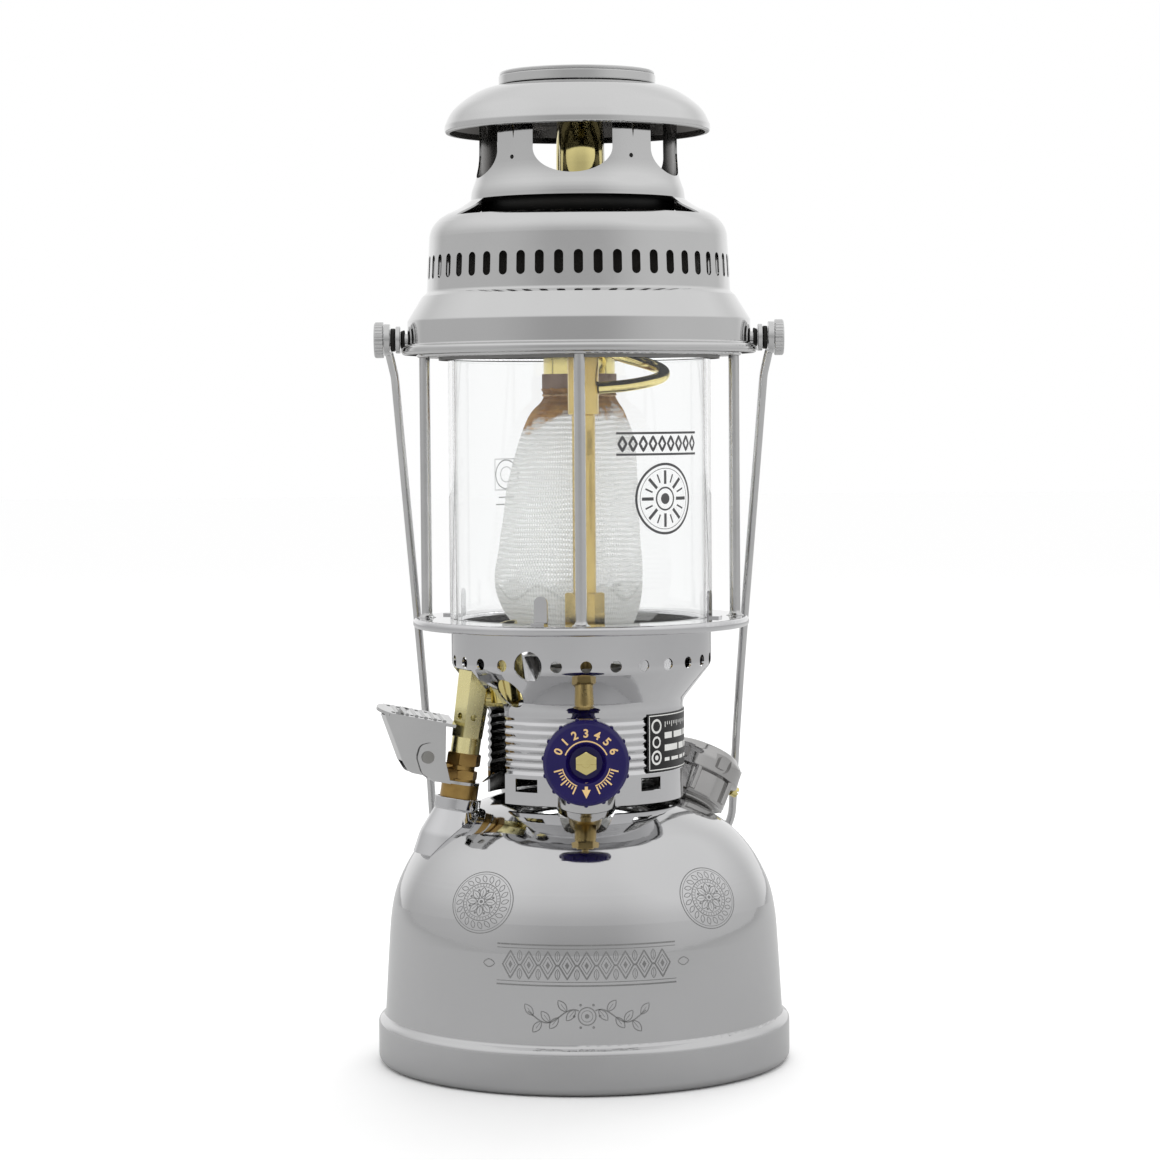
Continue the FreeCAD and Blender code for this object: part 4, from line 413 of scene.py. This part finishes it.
def make_mantle():
    """The hanging bag: pleated at the tie, uneven below it, closed at the bottom."""
    around, steps = 160, 150
    verts, faces = [], []
    for i in range(steps + 1):
        t = (len(MANTLE) - 1) * (i / steps) ** 0.92
        z, left, right = catmull(MANTLE, t)
        left, right = max(left, 0.05), max(right, 0.05)
        radius, shift = (left + right) / 2, (right - left) / 2
        for k in range(around):
            a = 2 * pi * k / around
            place = Vector((cos(a), sin(a), 0))
            pleat = exp(-max(0.0, PLEATS_Z - z) / PLEAT_FADE)
            fold = PLEAT_DEPTH * pleat * sin(PLEATS * a + 0.5 * sin(3 * a))
            dent = 0.018 * noise.noise(Vector((cos(a) * 1.6, sin(a) * 1.6, z * 0.035)))
            dent += 0.010 * noise.noise(Vector((cos(a) * 5, sin(a) * 5, z * 0.10)))
            r = radius * (1 + fold + dent * min(1.0, (MANTLE_TOP - z) / DENT_FADE))
            rise = 0.5 * noise.noise(Vector((cos(a) * 2, sin(a) * 2, z * 0.05)))
            verts.append((shift + r * place.x, BURNER_Y - 0.25 * shift + r * place.y,
                          z + rise * min(1.0, radius / 10)))
    for i in range(steps):
        for k in range(around):
            n = (k + 1) % around
            faces.append((i * around + k, (i + 1) * around + k, (i + 1) * around + n, i * around + n))
    faces.append(tuple(steps * around + k for k in range(around)))
    made = piece("mantle_bag", verts, faces, "gauze", "lantern")
    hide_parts("mantle")


make_mantle()


# ---- drawing on surfaces ------------------------------------------------------------------------------

OUTSIDE = 140.0                      # a radius beyond every wall, in mm, from which the rays start


def surface(node):
    """The CAD node's faces, for laying prints and engravings on."""
    mesh = NODES[node].data
    corners = [v.co.copy() for v in mesh.vertices]
    return BVHTree.FromPolygons(corners, [tuple(p.vertices) for p in mesh.polygons])


def hit(tree, start, aim):
    """The point and outward normal, in millimetres, where a ray meets the surface."""
    place, normal, _, _ = tree.ray_cast(Vector(start) * MM, Vector(aim).normalized())
    if place is None:
        return None
    if normal.dot(Vector(aim)) > 0:
        normal = -normal
    return place / MM, normal


def round_wall(tree, azimuth, height, radius):
    """Lay a drawing round an upright wall: u runs to the right seen from outside, v runs up."""
    def cast(u, v):
        a = radians(azimuth) + u / radius
        out = Vector((cos(a), sin(a), 0))
        return hit(tree, out * OUTSIDE + Vector((0, 0, height + v)), -out)
    return cast


def flat_on(tree, azimuth, height, wide=1.0, tall=1.0):
    """Lay a drawing on a domed surface from its tangent plane at one place."""
    a = radians(azimuth)
    out = Vector((cos(a), sin(a), 0))
    centre, normal = hit(tree, out * OUTSIDE + Vector((0, 0, height)), -out)
    across = Vector((-sin(a), cos(a), 0))
    up = normal.cross(across)
    def cast(u, v):
        return hit(tree, centre + across * (u * wide) + up * (v * tall) + normal * 12, -normal)
    return cast


def front_face(tree, x, z):
    """Lay a drawing on a face that looks to the front, round the point (x, z)."""
    def cast(u, v):
        return hit(tree, (x + u, -OUTSIDE, z + v), (0, 1, 0))
    return cast


def steps_along(line, step):
    """Points along a line, no further apart than one step."""
    out = [Vector(line[0])]
    for a, b in zip(line, line[1:]):
        a, b = Vector(a), Vector(b)
        n = max(1, int((b - a).length / step))
        out += [a.lerp(b, (i + 1) / n) for i in range(n)]
    return out


class Drawing:
    """Ribbons, patches and numbers gathered into one thin piece on a surface."""

    def __init__(self, cast, lift=0.03):
        self.cast = cast
        self.lift = lift
        self.verts = []
        self.faces = []

    def put(self, u, v):
        found = self.cast(u, v)
        if found is None:
            return None
        place, normal = found
        self.verts.append(place + normal * self.lift)
        return len(self.verts) - 1

    def line(self, points, width, step=0.5):
        closed = (Vector(points[0]) - Vector(points[-1])).length < 1e-6
        path = steps_along(points, step)
        if closed:
            path = path[:-1]
        n = len(path)
        pairs = []
        for i, p in enumerate(path):
            before = path[i - 1] if i or closed else p
            after = path[(i + 1) % n] if i < n - 1 or closed else p
            run = (after - before).normalized()
            side = Vector((-run.y, run.x)) * (width / 2)
            pairs.append((self.put(*(p + side)), self.put(*(p - side))))
        for i in range(n if closed else n - 1):
            a, b = pairs[i]
            c, d = pairs[(i + 1) % n]
            if None not in (a, b, c, d):
                self.faces.append((b, a, c, d))

    def patch(self, corners, step=1.2):
        """A filled convex outline."""
        middle = sum((Vector(c) for c in corners), Vector((0, 0))) / len(corners)
        path = steps_along(list(corners) + [corners[0]], step)[:-1]
        rings = max(1, int(max((p - middle).length for p in path) / (2 * step)) + 1)
        before = [self.put(*middle)] * len(path)
        for k in range(rings):
            ring = [self.put(*middle.lerp(p, (k + 1) / rings)) for p in path]
            for i in range(len(path)):
                j = (i + 1) % len(path)
                quad = (before[i], ring[i], ring[j], before[j]) if k else (before[0], ring[i], ring[j])
                if None not in quad:
                    self.faces.append(quad)
            before = ring

    def disc(self, u, v, radius, sides=20):
        turns = [2 * pi * k / sides for k in range(sides)]
        self.patch([(u + radius * cos(a), v + radius * sin(a)) for a in turns], radius)

    def number(self, text, u, v, size, turn=0.0, bold=0.0):
        """A plain number, centred at (u, v)."""
        curve = bpy.data.curves.new("number", "FONT")
        curve.body = text
        curve.offset = bold
        curve.size = size
        curve.align_x = "CENTER"
        curve.align_y = "CENTER"
        holder = bpy.data.objects.new("number", curve)
        scene.collection.objects.link(holder)
        mesh = bpy.data.meshes.new_from_object(holder)
        c, s = cos(turn), sin(turn)
        index = [self.put(u + c * p.co.x - s * p.co.y, v + s * p.co.x + c * p.co.y) for p in mesh.vertices]
        for face in mesh.polygons:
            made = tuple(index[i] for i in face.vertices)
            if None not in made:
                self.faces.append(made)
        bpy.data.objects.remove(holder)
        bpy.data.curves.remove(curve)
        bpy.data.meshes.remove(mesh)

    def finish(self, name, look, body):
        piece(name, self.verts, self.faces, look, body)


def circle(u, v, radius, start=0.0, end=360.0, sides=64):
    n = max(3, int(sides * abs(end - start) / 360))
    points = [(u + radius * cos(radians(start + (end - start) * k / n)),
               v + radius * sin(radians(start + (end - start) * k / n))) for k in range(n + 1)]
    if abs(end - start) >= 360:
        points[-1] = points[0]
    return points


def box_outline(half_u, half_v):
    return [(-half_u, -half_v), (half_u, -half_v), (half_u, half_v), (-half_u, half_v), (-half_u, -half_v)]


def spoke(angle, inner, outer):
    """A radial line between two radii."""
    return [(inner * cos(angle), inner * sin(angle)), (outer * cos(angle), outer * sin(angle))]


def leaf(u, v, angle, length, width):
    """A pointed leaf outline from (u, v) towards an angle."""
    n = 10
    c, s = cos(angle), sin(angle)
    side = [(length * k / n, width * sin(pi * k / n) ** 0.8) for k in range(n + 1)]
    outline = side + [(x, -y) for x, y in reversed(side[1:-1])] + side[:1]
    return [(u + c * x - s * y, v + s * x + c * y) for x, y in outline]


# ---- engravings on the tank ---------------------------------------------------------------------------

def rosette(name, azimuth, height):
    """An engraved ornament of rings, leaves and petals."""
    art = Drawing(flat_on(tank_faces, azimuth, height, 0.95, 0.84), 0.012)
    art.line(circle(0, 0, 14.6, sides=120), 0.42)
    art.line(circle(0, 0, 13.5, sides=110), 0.24)
    for k in range(20):
        a = 2 * pi * k / 20
        art.line(leaf(9.5 * cos(a), 9.5 * sin(a), a + 0.55, 3.6, 0.95), 0.34, 0.4)
    art.line(circle(0, 0, 8.9, sides=90), 0.40)
    for k in range(36):
        a = 2 * pi * (k + 0.5) / 36
        art.line(spoke(a, 7.6, 8.6), 0.30)
    art.line(circle(0, 0, 7.3, sides=80), 0.26)
    for k in range(8):
        a = 2 * pi * k / 8
        art.line(leaf(1.9 * cos(a), 1.9 * sin(a), a, 5.0, 1.45), 0.40, 0.4)
        art.line(spoke(a, 2.3, 5.4), 0.26)
        b = a + pi / 8
        art.disc(5.8 * cos(b), 5.8 * sin(b), 0.60, 10)
    art.line(circle(0, 0, 1.7, sides=30), 0.36)
    art.disc(0, 0, 0.8, 14)
    art.finish(name, "etched", "lantern")


def frieze(name, azimuth, height):
    """An engraved band of lozenges and leaves between rules, with a shorter leaf spray under it."""
    art = Drawing(round_wall(tank_faces, azimuth, height, TANK_R), 0.012)
    half, tall = 36.5, 7.8
    edge = 2.0
    for v, w in ((tall, 0.62), (tall - 1.4, 0.3), (-tall, 0.62), (1.4 - tall, 0.3)):
        art.line([(-half, v), (half, v)], w, 1.0)
    count = 9
    pitch = 2 * (half - edge) / count
    for k in range(count):
        u = -half + edge + pitch * (k + 0.5)
        for share, wide in ((0.43, 0.62), (0.27, 0.34)):
            w, h = pitch * share, 12.4 * share
            art.line([(u - w, 0), (u, h), (u + w, 0), (u, -h), (u - w, 0)], wide)
        art.patch([(u - 0.9, 0), (u, -1.5), (u + 0.9, 0), (u, 1.5)])
        if k < count - 1:
            e = u + pitch / 2
            for side in (-1, 1):
                art.line(leaf(e, side * 1.4, side * pi / 2, 4.2, 0.95), 0.34, 0.4)
                art.line([(e, side * 2.0), (e, side * 5.0)], 0.22)
            art.disc(e, 0, 0.45, 10)
    for side in (-1, 1):
        art.line(leaf(side * (half + 1.0), 0, 0 if side > 0 else pi, 5.0, 1.5), 0.4, 0.4)
    low = -19.5                      # the spray's middle, below the band
    for side in (-1, 1):
        art.line([(side * t, low + 2.6 * sin(t * 0.30)) for t in [x * 0.8 for x in range(4, 30)]], 0.55)
        for k in range(6):
            t = 4.6 + k * 3.3
            v = low + 2.6 * sin(t * 0.30)
            a = 0.9 if k % 2 else -0.9
            art.line(leaf(side * t, v, a if side > 0 else pi - a, 5.4, 1.35), 0.42, 0.4)
            art.line([(side * t, v), (side * (t + 3.6 * cos(a)), v + 3.6 * sin(a))], 0.24)
    art.line(circle(0, low, 3.4, sides=36), 0.5)
    art.line(circle(0, low, 2.2, sides=36), 0.28)
    for k in range(6):
        art.disc(5.0 * cos(pi * k / 3), low + 5.0 * sin(pi * k / 3), 0.55, 10)
    art.disc(0, low, 0.9, 14)
    art.finish(name, "etched", "lantern")


tank_faces = surface("fuel_tank")
rosette("rosette_left", FRONT - 32.0, 73.5)
rosette("rosette_right", FRONT + 41.0, 73.5)
frieze("frieze_front", FRONT + 0.8, 50.5)


# ---- prints on the glass ------------------------------------------------------------------------------

def glass_prints():
    glass_faces = surface("globe_glass")
    art = Drawing(round_wall(glass_faces, FRONT + 39.0, 230.0, GLASS_R), 0.02)
    art.line(circle(0, 0, 13.7, sides=120), 1.0)
    art.line(circle(0, 0, 12.0, sides=110), 0.25)
    for k in range(16):
        a = 2 * pi * k / 16
        inner, outer = (6.8, 10.4) if k % 2 else (5.8, 11.2)
        art.line(spoke(a, inner, outer), 0.7 if k % 2 else 1.3)
    art.line(circle(0, 0, 4.4, sides=48), 0.7)
    art.disc(0, 0, 2.2, 20)
    for v in (17.6, 26.0):
        art.line([(-22, v), (19, v)], 0.9, 1.0)
    for k in range(9):
        u = -19.4 + 4.5 * k
        art.line([(u - 1.6, 21.8), (u, 24.6), (u + 1.6, 21.8), (u, 19.0), (u - 1.6, 21.8)], 1.1)
    art.finish("glass_print_front", "glass_print", "lantern")
    back = Drawing(round_wall(glass_faces, -FRONT + 37.0, 238.5, GLASS_R), 0.02)
    back.line(box_outline(6.5, 6.5), 0.3)
    back.line(circle(0, 0, 6.0, sides=64), 0.5)
    back.line(circle(0, 0, 3.2, sides=48), 0.3)
    for v, half in ((-9.6, 4.2), (-12.6, 6.0)):
        back.line([(-half, v), (half, v)], 0.5, 1.0)
    back.finish("glass_print_back", "glass_print_pale", "lantern")


glass_prints()


# ---- print on the control wheel -----------------------------------------------------------------------

def wheel_print():
    art = Drawing(front_face(surface("handwheel"), WHEEL_X, WHEEL_Z), 0.03)
    art.line(circle(0, 0, 8.7, 22, 158), 0.5)
    for k in range(7):
        a = radians(156 - 22 * k)
        art.number(str(k), 11.6 * cos(a), 11.6 * sin(a), 4.5, a - pi / 2, 0.12)
    for side in (-1, 1):
        for k in range(9):
            a = radians(-90 + side * (24 + 6.5 * k))
            reach = 12.9 if k % 4 == 0 else 11.4
            art.line(spoke(a, 9.8, reach), 0.6 if k % 4 == 0 else 0.42)
        art.line(circle(0, 0, 9.4, -90 + side * 22, -90 + side * 78), 0.4)
    art.patch([(-0.6, -7.6), (0.6, -7.6), (0.6, -10.4), (-0.6, -10.4)])
    art.patch([(-1.7, -10.2), (1.7, -10.2), (0, -13.6)])
    art.finish("wheel_print", "gold_print", "control")


wheel_print()


# ---- print on the label plate -------------------------------------------------------------------------

def label_print():
    faces = surface("label_plate")
    low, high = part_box("label_plate")
    middle = (low.z + high.z) / 2 / MM
    art = Drawing(round_wall(faces, FRONT + 68.0, middle, LABEL_R), 0.03)
    half_u, half_v = 20.4, 10.9
    art.line(box_outline(half_u, half_v), 0.42, 0.8)
    art.line(circle(-16.4, 6.6, 2.5, sides=32), 0.9)
    art.line(circle(-16.4, 0.2, 2.0, sides=32), 0.8)
    art.line(circle(-16.4, -6.0, 2.5, sides=32), 0.9)
    art.disc(-16.4, -6.0, 1.0, 16)
    for k in range(19):
        u = -11.0 + 1.6 * k
        tall = 2.2 if k % 3 == 0 else 1.3
        art.line([(u, 8.2), (u, 8.2 - tall)], 0.5)
    for v, lengths in ((2.6, (7, 11, 9)), (-2.4, (12, 8, 7)), (-7.0, (5, 8, 6, 8))):
        u = -11.4
        for length in lengths:
            tall = 1.25 if v > -5 else 0.7
            end = u + length - 1.6
            art.patch([(u, v - tall), (end, v - tall), (end, v + tall), (u, v + tall)])
            u += length
    art.finish("label_print", "label_print", "lantern")


label_print()


# ---- gauge dial ---------------------------------------------------------------------------------------

def dial_print():
    tilt, azimuth = radians(FILLER_TILT), radians(FILLER_AZIMUTH)
    axis = Vector((sin(tilt) * cos(azimuth), sin(tilt) * sin(azimuth), cos(tilt)))
    foot = Vector((FILLER_R * cos(azimuth), FILLER_R * sin(azimuth), FILLER_Z))
    across = Vector((0, 0, 1)).cross(axis).normalized()
    up = axis.cross(across)
    faces = surface("gauge_dial")
    def cast(u, v):
        return hit(faces, foot + axis * 60 + across * u + up * v, -axis)
    art = Drawing(cast, 0.03)
    art.line(circle(0, 0, 8.9, 215, -35), 0.25)
    for k in range(26):
        a = radians(215 - 10 * k)
        long = k % 5 == 0
        art.line(spoke(a, 7.2 if long else 8.0, 8.9), 0.28 if long else 0.16)
        if long:
            art.number(str(k // 5), 5.7 * cos(a), 5.7 * sin(a), 2.4)
    red = Drawing(cast, 0.05)
    red.line(circle(0, 0, 8.5, 25, -35), 0.5)
    art.finish("dial_print", "black", "filler")
    red.finish("dial_red_arc", "red", "filler")


dial_print()


# ---- welds, rings, rivets, painted-shade sleeve and thread --------------------------------------------

def lathe(name, outline, place, look, body, sides=40, ripple=0.0, seed=0.0, turn=None):
    """A small turned form from (r, z) points in millimetres."""
    verts, faces = [], []
    for i, (r, z) in enumerate(outline):
        for k in range(sides):
            a = 2 * pi * k / sides
            wave = 1 + ripple * noise.noise(Vector((cos(a) * 2 + seed, sin(a) * 2, z + seed)))
            spot = Vector((r * wave * cos(a), r * wave * sin(a), z))
            verts.append(Vector(place) + (turn @ spot if turn else spot))
    for i in range(len(outline) - 1):
        for k in range(sides):
            n = (k + 1) % sides
            faces.append((i * sides + k, i * sides + n, (i + 1) * sides + n, (i + 1) * sides + k))
    faces.append(tuple(range(sides))[::-1])
    faces.append(tuple((len(outline) - 1) * sides + k for k in range(sides)))
    piece(name, verts, faces, look, body)


WELD = [(3.7, 0.0), (3.5, 0.18), (2.9, 0.5), (2.45, 1.0), (2.24, 1.8), (2.2, 2.0)]
WASHER = [(2.6, 74.8), (4.4, 74.8), (4.7, 75.1), (4.7, 76.4), (4.4, 76.7), (2.6, 76.7)]
SPACER = [(2.6, 70.9), (3.7, 70.9), (4.0, 71.2), (3.5, 72.5), (2.6, 72.5)]
RIVET = [(0.9, -0.2), (0.9, 0.2), (0.7, 0.5), (0.3, 0.6)]
RIVET_Z = 365.8
SLEEVE = [(38.6, 342.0), (39.2, 342.0), (39.2, 353.5), (38.6, 353.5)]    # behind the slot under the chimney
THREAD_R = 14.75
THREAD_Z = 271.5


def polar(radius, azimuth, height):
    return radius * cos(azimuth), radius * sin(azimuth), height


def make_welds():
    for k in range(4):
        foot = polar(PILLAR_CIRCLE_R, radians(FRONT + 90 * k), RING_Z)
        lathe(f"weld_foot_{k}", WELD, foot, "wire", "lantern", ripple=0.10, seed=3.0 * k)


def make_stud_rings():
    """A washer and a spacer on each pivot stud of the bail, both in near-black painted shade."""
    low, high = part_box("pivot_studs")
    middle = (0, 0, (low.z + high.z) / 2 / MM)
    for side, name in ((1, "right"), (-1, "left")):
        sideways = Matrix.Rotation(radians(90.0 * side), 3, "Y")
        lathe(f"stud_washer_{name}", WASHER, middle, "shade_dark", "lantern", turn=sideways)
        lathe(f"stud_spacer_{name}", SPACER, middle, "shade_dark", "lantern", turn=sideways)


def make_sleeve():
    """A ring in painted shade inside the hood that closes the view through the slot."""
    count, edges = 120, len(SLEEVE)
    verts = [polar(r, 2 * pi * k / count, z) for k in range(count) for r, z in SLEEVE]
    faces = []
    for k in range(count):
        here, there = edges * k, edges * ((k + 1) % count)
        for i in range(edges):
            n = (i + 1) % edges
            faces.append((here + i, there + i, there + n, here + n))
    piece("painted_shade_ring", verts, faces, "shade_dark", "hood")


def make_rivets():
    for k, azimuth in enumerate((FRONT - 39.9, FRONT + 31.5)):
        a = radians(azimuth)
        outwards = Matrix.Rotation(a, 3, "Z") @ Matrix.Rotation(radians(90.0), 3, "Y")
        place = polar(CHIMNEY_R, a, RIVET_Z)
        lathe(f"chimney_rivet_{k}", RIVET, place, "shade_dark", "hood", sides=20, turn=outwards)


def make_thread():
    """Two strands twisted round each other, in a ring where the mantle is tied."""
    count, sides, radius, turns = 150, 8, 0.3, 30
    ring = []
    for k in range(count):
        a = 2 * pi * k / count
        ring.append(Vector(polar(THREAD_R, a, THREAD_Z + 0.25 * sin(3 * a))) + Vector((0, BURNER_Y, 0)))
    verts, faces = [], []
    for strand in range(2):
        base = len(verts)
        for i, p in enumerate(ring):
            run = (ring[(i + 1) % count] - ring[i - 1]).normalized()
            side = run.cross(Vector((0, 0, 1))).normalized()
            top = side.cross(run)
            a = pi * strand + 2 * pi * turns / count * i
            middle = p + (side * cos(a) + top * sin(a)) * (radius * 0.95)
            for k in range(sides):
                b = 2 * pi * k / sides
                verts.append(middle + (side * cos(b) + top * sin(b)) * radius)
        for i in range(count):
            here, there = base + i * sides, base + (i + 1) % count * sides
            for k in range(sides):
                m = (k + 1) % sides
                faces.append((here + k, here + m, there + m, there + k))
    made = piece("mantle_thread", verts, faces, "thread", "lantern")
    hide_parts("mantle_tie")


make_welds()
make_stud_rings()
make_sleeve()
make_rivets()
make_thread()


# ---- camera, floor and light --------------------------------------------------------------------------

CAMERA_DOWN = 2.954                 # degrees below the level
CAMERA_ROLL = -0.443

camera_data = bpy.data.cameras.new("camera")
camera_data.sensor_width = 36.0
camera_data.lens = 101.08
camera = bpy.data.objects.new("camera", camera_data)
scene.collection.objects.link(camera)
camera.location = (-0.00033, -1.33, 0.2645)
tilt = Matrix.Rotation(radians(90.0 - CAMERA_DOWN), 3, "X")
camera.rotation_euler = (tilt @ Matrix.Rotation(radians(CAMERA_ROLL), 3, "Z")).to_euler()
scene.camera = camera
scene.view_settings.view_transform = "Standard"


def studio_world():
    """White to the eye. Mirrors see a room, light grey above, darker below and white behind the object."""
    world = bpy.data.worlds.new("studio")
    scene.world = world
    world.use_nodes = True
    w = Nodes(world.node_tree)
    x, y, z = w.parts(w.node("ShaderNodeTexCoord").outputs["Generated"])
    level = w.span(z, -0.10, 0.95, 0.47, 0.98, "SMOOTHSTEP")
    sides = w.span(w.maths("ABSOLUTE", x), 0.25, 0.95, 0.0, 0.14, "SMOOTHSTEP")
    right = w.span(x, 0.1, 0.9, 0.0, 0.10, "SMOOTHSTEP")
    backdrop = w.span(y, 0.62, 0.90, 0.0, 1.0, "SMOOTHSTEP")
    level = w.maths("MINIMUM", w.maths("ADD", w.maths("ADD", level, sides), right), 1.0)
    grey = w.node("ShaderNodeCombineColor", {0: level, 1: level, 2: level}).outputs[0]
    colour = w.mix(backdrop, grey, rgb(1.0, 1.0, 1.0))
    room = w.node("ShaderNodeBackground", {"Color": colour, "Strength": 1.0})
    white = w.node("ShaderNodeBackground", {"Color": rgb(1.0, 1.0, 1.0), "Strength": 1.0})
    both = w.blend(w.mirror_ray(), white.outputs[0], room.outputs[0])
    w.node("ShaderNodeOutputWorld", {"Surface": both})


studio_world()


def softbox(name, place, aim, size, power):
    """A wide lamp, in metres and watts, that lights the piece but is not seen in the metal."""
    data = bpy.data.lights.new(name, "AREA")
    data.shape = "RECTANGLE"
    data.size, data.size_y = size
    data.energy = power
    lamp = bpy.data.objects.new(name, data)
    scene.collection.objects.link(lamp)
    lamp.location = place
    lamp.rotation_mode = "QUATERNION"
    lamp.rotation_quaternion = (Vector(aim) - Vector(place)).to_track_quat("-Z", "Y")
    lamp.visible_glossy = False


softbox("key", (1.7, -1.9, 1.6), (0, 0, 0.2), (1.6, 1.6), 4.0)
softbox("fill", (-2.0, -1.6, 1.3), (0, 0, 0.2), (1.6, 1.6), 1.5)
softbox("back", (0.2, 1.1, 1.9), (0, 0, 0.1), (1.2, 1.2), 14.0)


def floor_material():
    """White paper to the eye. The metal sees it as grey as the room."""
    s = Shader("floor_paper", Roughness=0.9)
    grain = s.noise(30.0, 3.0, 0.5)
    s.base(Base_Color=s.mix(grain, rgb(0.52, 0.52, 0.52), rgb(0.55, 0.55, 0.55)))
    white = s.mix(grain, rgb(0.985, 0.985, 0.985), rgb(1.0, 1.0, 1.0))
    plain = s.node("ShaderNodeBsdfDiffuse", {"Color": white})
    s.surface(s.blend(s.mirror_ray(), plain.outputs[0], s.bsdf.outputs[0]))
    return s.mat


M["floor"] = floor_material()
corners = [(-9000, -5000, -0.3), (9000, -5000, -0.3), (9000, 9000, -0.3), (-9000, 9000, -0.3)]
piece("floor_paper", corners, [(0, 1, 2, 3)], "floor", None)
